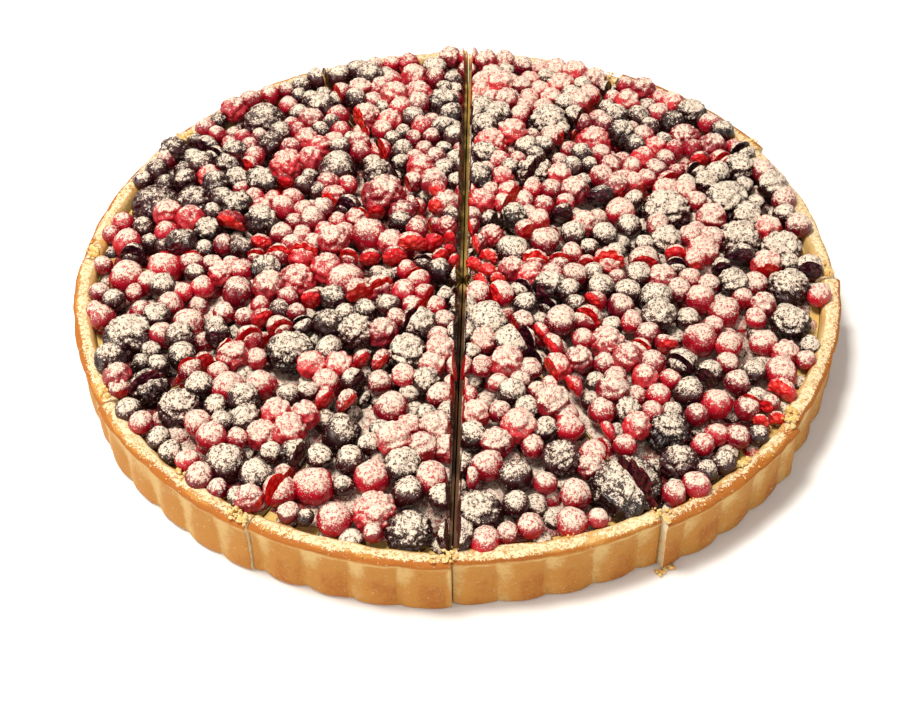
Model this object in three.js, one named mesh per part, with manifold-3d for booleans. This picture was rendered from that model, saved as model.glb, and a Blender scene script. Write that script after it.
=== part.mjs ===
// Berry tart: a fluted shortcrust case filled with custard cream, heaped with mixed
// berries and cut into twelve uneven slices that still stand together as one round tart.
// Millimetres, +Z up, origin at the middle of the underside.
import * as THREE from 'three';
import { mergeVertices } from 'three/addons/utils/BufferGeometryUtils.js';
import Module from 'manifold-3d';

const wasm = await Module();
wasm.setup();

// ---------------------------------------------------------------- pastry case
const RIM_R = 140.2;          // widest point of the lip
const RIM_H = 23.5;           // top of the rim
const LIP_Z = 21.4;           // height of the lip's widest point
const LIP_TOP = 22.9;         // where the lip rounds over into the top
const LIP_ROUND = 0.7;        // how far in it does so
const WALL_R = 139.4;         // wall just under the lip
const WALL_TOP = 20;          // height at which the wall meets the lip
const FOOT_R = 140;           // wall at the base
const BASE_T = 4;             // thickness of the base
const BOWL_R = 132;           // inside radius at the base
const BOWL_TOP_R = 133.6;     // inside radius just under the top of the rim
const INNER_ROUND = 1.2;      // rounding of the rim's inner edge
const FLUTES = 56;            // scallops round the wall
const FLUTE_DEPTH = 2;        // how far a groove between two scallops goes in
const FLUTE_SHARP = 0.6;      // below 1: round scallops with narrow grooves between them
const FLUTE_PHASE = -92;      // direction of one groove, degrees
const LIP_SHARE = 0.3;        // share of the flute depth that reaches the lip
const FLUTE_FADE = [15, 21];  // heights between which the flutes fade
const WALL_STEPS = 3;         // facets in each scallop
const BOWL_STEPS = 72;        // facets round the inside

// ---------------------------------------------------------------- filling
const CREAM_TOP = 18.5;       // surface of the cream
const CREAM_LIP = 0.5;        // rounding of the cream's edge
const CLEAR = 0.3;            // space kept between pieces that touch
const CREAM_R = BOWL_TOP_R - 2 * CLEAR - CREAM_LIP;   // clear of the sloping bowl
const HEAP_MID = 23.5;        // height of the packed lower berries in the middle
const HEAP_FALL = 4.2;        // how much lower they lie HEAP_SPAN from the middle
const HEAP_SPAN = 124;
const HEAP_R = 128;           // outermost middle of a small berry
const EDGE_R = 105;           // from here out the berries lie closer, up against the rim
const EDGE_SQUEEZE = 0.8;     // by this share of their spacing
const PITCH = 12.7;           // spacing of the small berries
const ROW = Math.sqrt(3) / 2; // spacing of the rows, as a share of the pitch
const JITTER = 1.6;           // random shift of each one
const SMALL_R = [4.8, 6.2];   // smallest and largest radius of a small berry
const SINK = 0.7;             // share of its radius that a small berry stands above the bed
const TOSS = 1.6;             // how much higher some of them lie
const CAP_R = 0.6;            // width of a small berry's flat top, as a share of its radius
const CAP_Z = 0.88;           // height of that top above its middle, likewise
const OVERLAP = 0.45;         // share of a small berry's radius that a large one may cover
const DALE = 1.2;             // depth of the dips between berries, below their middles
const DALE_LARGE = 2;         // further depth beside a large berry
const WELL = 3;               // depth of the hollow that a large berry fills
const FLOOR_STEP = 1;         // least height of a dip above the cream
const LARGE_TOP = 33;         // top of a large berry in the middle
const LARGE_FALL = 5.5;       // how much lower it lies LARGE_SPAN from the middle
const LARGE_SPAN = 130;
const LARGE_LIFT = 0.25;      // how much higher the top lies for each mm of radius above USUAL_R
const USUAL_R = 5;
const SWELL = 1.04;           // a faceted ball's corners against the round berry
const BRAMBLE_FLAT = 0.85;    // height of a bramble as a share of its width
const POCKET = 0.4;           // space round a large berry
const POCKET_SWELL = 0.27;    // and for the coarser facets of the hollow round it
const CUT_SHARE = 0.12;       // smallest share of a cut berry kept as a piece of its own
const TURN = [0.7, 0.9];      // how a large berry's facets turn with its place

// ---------------------------------------------------------------- slices
const CUT_X = 2;              // where the cuts cross
const CUT_Y = -5;
// Directions of the cuts in degrees, and how far the slice after each has slid outwards.
const CUTS = [87.9, 114.6, 144.3, 175.6, 207.6, 239.2, 267.4, 297, 323.6, 356.7, 390.3, 420.5];
const SLIDES = [-1.3, -0.1, 0, 0.5, 1.7, 1.1, -2.2, 1.6, -0.2, -2.1, 0.6, -3];
const OPEN_CUTS = [87.9, 267.4];   // the one cut that runs right across stands open
const CRUST_GAP = 1.2;        // width of a cut through pastry and cream
const CRUST_GAP_OPEN = 1.6;   // and of the open one
const BERRY_GAP = 1.8;        // width of a cut through the berries
const BERRY_GAP_OPEN = 4.5;   // and of the open one
const REACH = 220;            // length of the wedge that picks out one slice
const WEDGE_LOW = -10;        // and its lowest and highest points
const WEDGE_HIGH = 70;

// Large berries that stand out: direction in degrees, distance and diameter in mm.
const BRAMBLES = [
  [295.6, 121.9, 21], [272, 119.5, 16], [197, 122, 18], [17.5, 84, 17.5], [5, 106, 16],
  [2, 121, 15], [17, 109, 17], [352, 121, 15], [217, 119, 14], [210, 123, 13],
  [219, 76, 16], [162, 122, 18], [160, 107, 15], [131, 118, 18], [65, 92, 16],
  [308, 111, 14.5],
];
const LARGE = [
  [130.5, 72, 16.5], [126, 48, 17], [57, 57, 15], [51, 89, 13.5], [250, 54, 14],
  [139, 88, 13.5], [279, 106, 12], [262.2, 127.3, 14], [231, 123, 14], [341, 75, 13],
  [256.7, 121.6, 13.3], [332, 95, 12.5], [159, 35, 13.5], [182, 122, 13.5], [245, 94, 14.5],
  [287, 37, 15.5], [343, 123, 13.5], [98, 105, 13],
];

const PASTRY = { color: 0xd8a561, roughness: 0.85 };
const CREAM = { color: 0xe6cf96, roughness: 0.6 };
const HEAP = { color: 0x9c3a3e, roughness: 0.6 };
const BRAMBLE = { color: 0x3a2530, roughness: 0.6 };

const rad = (deg) => (deg * Math.PI) / 180;

let drawn = 20177;
/** Next number of the fixed random sequence, 0 to 1. */
function draw() {
  drawn = (Math.imul(drawn, 1664525) + 1013904223) >>> 0;
  return drawn / 4294967296;
}

// ---------------------------------------------------------------- solids
/** Closed solid from a geometry, its shared vertices merged and needle facets dropped. */
function solid(geometry) {
  const bare = geometry.clone();
  bare.deleteAttribute('normal');
  bare.deleteAttribute('uv');
  const merged = mergeVertices(bare, 1e-4);
  const index = merged.index.array;
  const kept = [];
  for (let i = 0; i < index.length; i += 3) {
    const [a, b, c] = [index[i], index[i + 1], index[i + 2]];
    if (a !== b && b !== c && c !== a) kept.push(a, b, c);
  }
  return new wasm.Manifold(new wasm.Mesh({
    numProp: 3,
    vertProperties: new Float32Array(merged.attributes.position.array),
    triVerts: new Uint32Array(kept),
  }));
}

/** The piece of a solid that holds the most material. */
function mainBody(body) {
  const pieces = body.decompose();
  pieces.sort((a, b) => b.volume() - a.volume());
  return pieces[0];
}

/** Named mesh of a solid in its material. */
function toMesh(name, body, look) {
  const data = body.getMesh();
  const geometry = new THREE.BufferGeometry();
  const stride = data.numProp;
  const points = new Float32Array((data.vertProperties.length / stride) * 3);
  for (let i = 0; i < points.length / 3; i += 1) {
    for (let k = 0; k < 3; k += 1) points[3 * i + k] = data.vertProperties[stride * i + k];
  }
  geometry.setAttribute('position', new THREE.BufferAttribute(points, 3));
  geometry.setIndex(new THREE.BufferAttribute(new Uint32Array(data.triVerts), 1));
  geometry.computeVertexNormals();
  const mesh = new THREE.Mesh(geometry, new THREE.MeshStandardMaterial({ ...look, metalness: 0 }));
  mesh.name = name;
  return mesh;
}

/** Turned solid about +Z from [radius, height] pairs that start and end on the axis. */
function turned(profile, steps, reshape = null) {
  const points = profile.map(([r, z]) => new THREE.Vector2(r, z));
  const geometry = new THREE.LatheGeometry(points, steps);
  geometry.rotateX(Math.PI / 2);
  if (reshape) reshape(geometry.attributes.position);
  return solid(geometry);
}

// ---------------------------------------------------------------- pastry case
/** How far the wall stands in at a direction: rounded scallops with narrow grooves. */
function fluteInset(angle) {
  const phase = ((angle - rad(FLUTE_PHASE)) * FLUTES) / 2;
  return FLUTE_DEPTH * (1 - Math.abs(Math.sin(phase)) ** FLUTE_SHARP);
}

/** Presses the flutes into the outer wall, full depth below and faint at the lip. */
function pressFlutes(position) {
  for (let i = 0; i < position.count; i += 1) {
    const x = position.getX(i);
    const y = position.getY(i);
    const r = Math.hypot(x, y);
    if (r < BOWL_TOP_R) continue;
    const rise = THREE.MathUtils.smoothstep(position.getZ(i), ...FLUTE_FADE);
    const share = 1 - (1 - LIP_SHARE) * rise;
    const scale = 1 - (fluteInset(Math.atan2(y, x)) * share) / r;
    position.setXY(i, x * scale, y * scale);
  }
}

const caseOuter = turned([
  [0, 0], [FOOT_R, 0], [WALL_R, WALL_TOP], [RIM_R, LIP_Z],
  [RIM_R - LIP_ROUND, LIP_TOP], [RIM_R - 3 * LIP_ROUND, RIM_H], [0, RIM_H],
], FLUTES * WALL_STEPS, pressFlutes);

const bowl = turned([
  [0, BASE_T], [BOWL_R, BASE_T], [BOWL_TOP_R, RIM_H - INNER_ROUND],
  [BOWL_TOP_R + INNER_ROUND, RIM_H + CLEAR], [BOWL_TOP_R + INNER_ROUND, WEDGE_HIGH], [0, WEDGE_HIGH],
], BOWL_STEPS);

const pastry = caseOuter.subtract(bowl);

const cream = turned([
  [0, BASE_T + CLEAR], [BOWL_R - CLEAR, BASE_T + CLEAR], [CREAM_R, CREAM_TOP - CREAM_LIP],
  [CREAM_R - CREAM_LIP, CREAM_TOP], [0, CREAM_TOP],
], BOWL_STEPS);

// Space the berries may fill: inside the bowl, and over the rim once above it.
const berryRoom = turned([
  [0, CREAM_TOP + CLEAR], [CREAM_R, CREAM_TOP + CLEAR], [BOWL_TOP_R - CLEAR, RIM_H - INNER_ROUND],
  [BOWL_TOP_R + INNER_ROUND - CLEAR, RIM_H + CLEAR], [RIM_R, RIM_H + CLEAR], [RIM_R, WEDGE_HIGH],
  [0, WEDGE_HIGH],
], BOWL_STEPS);

// ---------------------------------------------------------------- slices
/** Directions of the two cuts that bound a slice, the second always the greater. */
function span(index) {
  const last = index + 1 === CUTS.length;
  return [CUTS[index], last ? CUTS[0] + 360 : CUTS[index + 1]];
}

/** Half of the gap left at a cut. */
function halfGap(cut, narrow, open) {
  return (OPEN_CUTS.includes(cut) ? open : narrow) / 2;
}

/** Point where two cut lines meet once each is moved in by its half gap. */
function wedgeTip(a, b, gapA, gapB) {
  const turn = b - a;
  const along = (gapB + gapA * Math.cos(turn)) / Math.sin(turn);
  return [
    CUT_X + along * Math.cos(a) - gapA * Math.sin(a),
    CUT_Y + along * Math.sin(a) + gapA * Math.cos(a),
  ];
}

/** Upright wedge that holds one slice, its cut faces moved in by half of each gap. */
function wedge(index, narrow, open) {
  const [from, to] = span(index);
  const gapFrom = halfGap(from, narrow, open);
  const gapTo = halfGap(CUTS[(index + 1) % CUTS.length], narrow, open);
  const [tipX, tipY] = wedgeTip(rad(from), rad(to), gapFrom, gapTo);
  const shape = new THREE.Shape();
  shape.moveTo(tipX, tipY);
  for (const share of [0, 0.5, 1]) {
    const way = rad(from + (to - from) * share);
    shape.lineTo(tipX + REACH * Math.cos(way), tipY + REACH * Math.sin(way));
  }
  shape.closePath();
  const depth = WEDGE_HIGH - WEDGE_LOW;
  const geometry = new THREE.ExtrudeGeometry(shape, { depth, bevelEnabled: false });
  geometry.translate(0, 0, WEDGE_LOW);
  return solid(geometry);
}

/** How far a slice has slid out or in along its own middle line. */
function slide(index) {
  const [from, to] = span(index);
  const middle = rad((from + to) / 2);
  return [SLIDES[index] * Math.cos(middle), SLIDES[index] * Math.sin(middle)];
}

// ---------------------------------------------------------------- berries
/** Height of the packed lower berries at a distance from the middle. */
const heapHeight = (distance) => HEAP_MID - HEAP_FALL * (distance / HEAP_SPAN) ** 2;

/** A large berry from its direction, distance, width and upright share of its width. */
function largeBerry([deg, distance, width], flat) {
  const r = width / 2;
  const top = LARGE_TOP - LARGE_FALL * (distance / LARGE_SPAN) ** 2 + LARGE_LIFT * (r - USUAL_R);
  return {
    x: distance * Math.cos(rad(deg)),
    y: distance * Math.sin(rad(deg)),
    z: top - r * flat,
    r,
    flat,
  };
}

const brambles = BRAMBLES.map((berry) => largeBerry(berry, BRAMBLE_FLAT));
const large = LARGE.map((berry) => largeBerry(berry, 1));

/** Lattice of small berries: each site's place, radius, height and whether it is free. */
function berryLattice() {
  const sites = new Map();
  const reach = EDGE_R + (HEAP_R - EDGE_R) / EDGE_SQUEEZE;
  const rows = Math.ceil(reach / (PITCH * ROW)) + 2;
  const columns = Math.ceil(reach / PITCH) + 2;
  for (let row = -rows; row <= rows; row += 1) {
    for (let column = -columns; column <= columns; column += 1) {
      const freeX = (column + 0.5 * Math.abs(row % 2)) * PITCH + (draw() * 2 - 1) * JITTER;
      const freeY = row * PITCH * ROW + (draw() * 2 - 1) * JITTER;
      const freeDistance = Math.hypot(freeX, freeY);
      const distance = freeDistance - (1 - EDGE_SQUEEZE) * Math.max(0, freeDistance - EDGE_R);
      const x = (freeX * distance) / freeDistance;
      const y = (freeY * distance) / freeDistance;
      const r = THREE.MathUtils.lerp(...SMALL_R, draw());
      const z = heapHeight(Math.min(distance, HEAP_R)) + SINK * r + TOSS * draw();
      const covers = (b) => Math.hypot(b.x - x, b.y - y) < b.r + OVERLAP * r;
      const hidden = [...brambles, ...large].some(covers);
      sites.set(`${row},${column}`, { row, column, x, y, z, r, inside: distance < HEAP_R, hidden });
    }
  }
  return sites;
}

/** The six neighbours of a lattice site, counter-clockwise. */
function neighbours(sites, { row, column }) {
  const odd = Math.abs(row % 2);
  const steps = [[0, 1], [1, odd], [1, odd - 1], [0, -1], [-1, odd - 1], [-1, odd]];
  return steps.map(([dr, dc]) => sites.get(`${row + dr},${column + dc}`));
}

/** Closed heap of small berries: a faceted dome at each site, dips where three sites meet. */
function heapOfBerries() {
  const sites = berryLattice();
  const points = [];
  const faces = [];
  const known = new Map();
  const floor = CREAM_TOP + CLEAR;
  const point = (key, x, y, z) => {
    if (!known.has(key)) {
      known.set(key, points.length / 3);
      points.push(x, y, z);
    }
    return known.get(key);
  };
  const corner = (three, low) => {
    const key = three.map((s) => `${s.row},${s.column}`).sort().join('|');
    const mean = (pick) => (pick(three[0]) + pick(three[1]) + pick(three[2])) / 3;
    const lie = mean((s) => (s.hidden ? s.z - DALE_LARGE : s.z));
    const dip = Math.max(lie - DALE, floor + FLOOR_STEP);
    return point(`${key}${low}`, mean((s) => s.x), mean((s) => s.y), low ? floor : dip);
  };
  const middle = point('middle', 0, 0, floor);
  for (const site of sites.values()) {
    if (!site.inside) continue;
    const round = neighbours(sites, site);
    const threes = round.map((next, k) => [site, next, round[(k + 1) % 6]]);
    const top = threes.map((three) => corner(three, ''));
    const name = `${site.row},${site.column}`;
    for (let k = 0; k < 6; k += 1) {
      const next = (k + 1) % 6;
      if (round[next].inside) continue;
      const rim = [corner(threes[k], ' low'), corner(threes[next], ' low')];
      faces.push([top[k], rim[0], rim[1]], [top[k], rim[1], top[next]], [middle, rim[1], rim[0]]);
    }
    if (site.hidden) {
      const depth = Math.max(site.z - WELL, floor + FLOOR_STEP);
      const sunk = point(`${name} mid`, site.x, site.y, depth);
      for (let k = 0; k < 6; k += 1) faces.push([sunk, top[k], top[(k + 1) % 6]]);
      continue;
    }
    const cap = [0, 2, 4].map((k) => {
      const way = Math.atan2(points[3 * top[k] + 1] - site.y, points[3 * top[k]] - site.x);
      const x = site.x + CAP_R * site.r * Math.cos(way);
      const y = site.y + CAP_R * site.r * Math.sin(way);
      return point(`${name} cap ${k}`, x, y, site.z + CAP_Z * site.r);
    });
    faces.push([cap[0], cap[1], cap[2]]);
    for (let k = 0; k < 3; k += 1) {
      const ahead = (k + 1) % 3;
      const [a, b, c] = [top[2 * k], top[2 * k + 1], top[(2 * k + 2) % 6]];
      faces.push([cap[k], a, b], [cap[k], b, cap[ahead]], [cap[ahead], b, c]);
    }
  }
  const geometry = new THREE.BufferGeometry();
  geometry.setAttribute('position', new THREE.Float32BufferAttribute(points, 3));
  geometry.setIndex(faces.flat());
  return solid(geometry);
}

/** Solid of one berry, grown by a margin, turned by its own angle. */
function berrySolid(b, detail, margin) {
  const geometry = new THREE.IcosahedronGeometry(1, detail);
  geometry.rotateX(b.x * TURN[0] + b.y);
  geometry.rotateZ(b.y * TURN[1] - b.x);
  const size = b.r * SWELL + margin;
  geometry.scale(size, size, b.r * SWELL * b.flat + margin);
  geometry.translate(b.x, b.y, b.z);
  return solid(geometry);
}

// ---------------------------------------------------------------- assembly
const tart = new THREE.Group();
const pockets = brambles.map((b) => berrySolid(b, 0, POCKET_SWELL * b.r + POCKET));
let heap = heapOfBerries();
for (const b of large) heap = heap.add(berrySolid(b, 0, 0));
for (const pocket of pockets) heap = heap.subtract(pocket);

let brambleCount = 0;
for (let index = 0; index < CUTS.length; index += 1) {
  const number = String(index + 1).padStart(2, '0');
  const crustRoom = wedge(index, CRUST_GAP, CRUST_GAP_OPEN);
  const heapRoom = wedge(index, BERRY_GAP, BERRY_GAP_OPEN);
  const [dx, dy] = slide(index);
  const crustSlice = mainBody(pastry.translate(dx, dy, 0).intersect(crustRoom));
  const creamSlice = mainBody(cream.translate(dx, dy, 0).intersect(crustRoom));
  tart.add(toMesh(`crust_${number}`, crustSlice, PASTRY));
  tart.add(toMesh(`cream_${number}`, creamSlice, CREAM));

  const room = berryRoom.translate(dx, dy, 0).intersect(heapRoom);
  tart.add(toMesh(`berries_${number}`, mainBody(heap.intersect(room)), HEAP));
  brambles.forEach((b, place) => {
    const whole = berrySolid(b, 1, 0);
    let piece = whole.intersect(room);
    for (const pocket of pockets.slice(0, place)) piece = piece.subtract(pocket);
    if (piece.isEmpty() || piece.volume() < CUT_SHARE * whole.volume()) return;
    brambleCount += 1;
    const name = `bramble_${String(brambleCount).padStart(2, '0')}`;
    tart.add(toMesh(name, mainBody(piece), BRAMBLE));
  });
}

export default tart;
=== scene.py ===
"""Berry tart: a fluted shortcrust case with cream and sugared berries, cut into twelve slices."""

import logging
import math
from collections.abc import Iterator
from dataclasses import dataclass, field
from enum import Enum

import bmesh
import bpy
import numpy as np
from mathutils import Matrix, Vector, noise


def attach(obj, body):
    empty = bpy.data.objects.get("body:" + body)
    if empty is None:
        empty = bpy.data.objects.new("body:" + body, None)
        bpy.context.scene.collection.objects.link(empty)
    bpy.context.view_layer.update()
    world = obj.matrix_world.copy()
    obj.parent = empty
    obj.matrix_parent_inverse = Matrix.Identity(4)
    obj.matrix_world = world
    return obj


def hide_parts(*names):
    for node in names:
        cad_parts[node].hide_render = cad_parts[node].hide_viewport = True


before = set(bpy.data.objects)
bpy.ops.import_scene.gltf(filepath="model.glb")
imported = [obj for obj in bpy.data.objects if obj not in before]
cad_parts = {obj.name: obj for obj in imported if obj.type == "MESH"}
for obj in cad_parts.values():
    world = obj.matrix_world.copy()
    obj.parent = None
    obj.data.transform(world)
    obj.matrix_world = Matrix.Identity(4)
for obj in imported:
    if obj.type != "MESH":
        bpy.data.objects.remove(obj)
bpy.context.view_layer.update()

MM = 0.001
BODY = "root"
log = logging.getLogger("berry_tart")


class Kind(Enum):
    """The fruits on the tart."""

    CURRANT = "red_currants"
    BLACKCURRANT = "blackcurrants"
    RASPBERRY = "raspberries"
    BRAMBLE = "brambles"


DARKS = (Kind.BLACKCURRANT, Kind.BRAMBLE)
BEADED = (Kind.RASPBERRY, Kind.BRAMBLE)


# ------------------------------------------------------------------ shared layout


def shade(value: float, low: float, high: float) -> float:
    """Returns a value eased from 0 to 1 between two limits."""
    share = min(max((value - low) / (high - low), 0.0), 1.0)
    return share * share * (3 - 2 * share)


def wave(x: float, y: float, layer: float, rate: float) -> float:
    """Returns smooth noise from -1 to 1 at a place in mm, with its rate in waves for each mm."""
    return noise.noise(Vector((x, y, layer)) * rate)


class Draw:
    """A fixed random sequence.

    Args:
        seed: Number the sequence starts from.
    """

    def __init__(self, seed: int) -> None:
        """Starts the sequence."""
        self.state = seed

    def unit(self) -> float:
        """Returns the next number from 0 to 1."""
        self.state = (self.state * 1664525 + 1013904223) % 2**32
        return self.state / 2**32

    def span(self, low: float, high: float) -> float:
        """Returns the next number between two limits."""
        return low + (high - low) * self.unit()


@dataclass(frozen=True)
class Slicing:
    """The knife cuts: where they run, how wide they stand open and how each slice has slid.

    Lengths are in mm, directions in degrees counter-clockwise from +X.
    """

    centre: tuple[float, float] = (2.0, -5.0)
    cuts: tuple[float, ...] = (
        87.9, 114.6, 144.3, 175.6, 207.6, 239.2, 267.4, 297, 323.6, 356.7, 390.3, 420.5,
    )
    open_cuts: tuple[float, ...] = (87.9, 267.4)
    # How far each slice has slid outwards along its own middle.
    slides: tuple[float, ...] = (-1.3, -0.1, 0.0, 0.5, 1.7, 0.8, -1.2, 1.6, -0.2, -2.1, 0.6, -2.6)
    # Each slice's share of sugar and of dark berries, near its point and near the rim.
    dust: tuple[tuple[float, float], ...] = (
        (0.50, 0.48), (0.28, 0.37), (0.55, 0.29), (0.41, 0.52), (0.47, 0.66), (0.78, 0.73),
        (0.83, 0.67), (0.66, 0.51), (0.57, 0.71), (0.79, 0.82), (0.57, 0.37), (0.43, 0.70),
    )
    dark: tuple[tuple[float, float], ...] = (
        (0.30, 0.40), (0.48, 0.42), (0.12, 0.74), (0.25, 0.38), (0.42, 0.42), (0.45, 0.38),
        (0.55, 0.42), (0.32, 0.28), (0.42, 0.34), (0.20, 0.60), (0.34, 0.42), (0.40, 0.48),
    )
    # The distances from the middle at which those two values hold.
    point_r: float = 45.0
    rim_r: float = 100.0
    # Directions closer than this are one cut.
    same_cut: float = 0.1

    def count(self) -> int:
        """Returns the number of slices."""
        return len(self.cuts)

    def span(self, index: int) -> tuple[float, float]:
        """Returns the directions of the two cuts that bound a slice."""
        last = index + 1 == len(self.cuts)
        return self.cuts[index], self.cuts[0] + 360 if last else self.cuts[index + 1]

    def slide(self, index: int) -> Vector:
        """Returns how far a slice has moved, in mm."""
        start, end = self.span(index)
        way = math.radians((start + end) / 2)
        return Vector((math.cos(way), math.sin(way), 0)) * self.slides[index]

    def blend(self, pairs: tuple[tuple[float, float], ...], x: float, y: float) -> float:
        """Returns a slice's value at a place, from its value near the point and near the rim."""
        inner, outer = pairs[self.slice_of(x, y)]
        return inner + (outer - inner) * shade(math.hypot(x, y), self.point_r, self.rim_r)

    def shift(self, x: float, y: float) -> float:
        """Returns how far the pastry edge has moved outwards at a place, in mm."""
        index = self.slice_of(x, y)
        start, end = self.span(index)
        turn = math.atan2(y - self.centre[1], x - self.centre[0]) - math.radians((start + end) / 2)
        return self.slides[index] * math.cos(turn)

    def planes(self, index: int, narrow: float, wide: float) -> list[tuple[Vector, Vector]]:
        """Returns the slice's two cut faces.

        Args:
            index: Number of the slice, from 0.
            narrow: Full gap at an ordinary cut.
            wide: Full gap at the cut that runs right across.

        Returns:
            A point in mm and the unit normal that points out of the slice, for each face.
        """
        faces = []
        for cut, side in zip(self.span(index), (-1, 1)):
            way = math.radians(cut)
            out = Vector((-math.sin(way), math.cos(way), 0)) * side
            stands_open = any(abs(cut % 360 - other) < self.same_cut for other in self.open_cuts)
            gap = wide if stands_open else narrow
            faces.append((Vector((*self.centre, 0)) - out * gap / 2, out))
        return faces

    def slice_of(self, x: float, y: float) -> int:
        """Returns the number of the slice that a point lies in."""
        way = math.degrees(math.atan2(y - self.centre[1], x - self.centre[0]))
        turn = (way - self.cuts[0]) % 360 + self.cuts[0]
        return max(k for k, cut in enumerate(self.cuts) if turn >= cut)


SLICING = Slicing()


@dataclass
class Berry:
    """One berry: its middle and radius in mm, and how it looks.

    A fixed berry isn't moved when the heap settles. The lift is how much higher than usual it lies,
    the dust its share of sugar, the tint where its colour lies between deep and bright, the flat its
    height as a share of its width, and cut_way the direction that a halved one's face looks.
    """

    x: float
    y: float
    z: float
    r: float
    kind: Kind
    fixed: bool = False
    lift: float = 0.0
    dust: float = 0.5
    tint: float = 0.5
    flat: float = 1.0
    cut_way: Vector | None = None


# Direction in degrees, distance from the middle and width in mm.
Place = tuple[float, float, float]
# The same, with the direction and rise in degrees of the cut face, and the fruit.
HalfPlace = tuple[float, float, float, float, float, Kind]
# Least radius of each small berry, how much larger it may be, and the power that favours the least.
SMALL_SIZES = {
    Kind.CURRANT: (3.6, 1.4, 1.0),
    Kind.BLACKCURRANT: (3.7, 1.6, 1.5),
    Kind.RASPBERRY: (4.5, 1.3, 1.0),
    Kind.BRAMBLE: (4.8, 1.4, 1.0),
}
# Turn in radians from one bead to the next, which spreads them evenly over a ball.
GOLDEN_ANGLE = 2.39996
# Lift that marks a berry of the lower layer.
LOWER = -1
# Spacing of a triangular lattice's rows, as a share of its pitch.
ROW = 0.866


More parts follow.
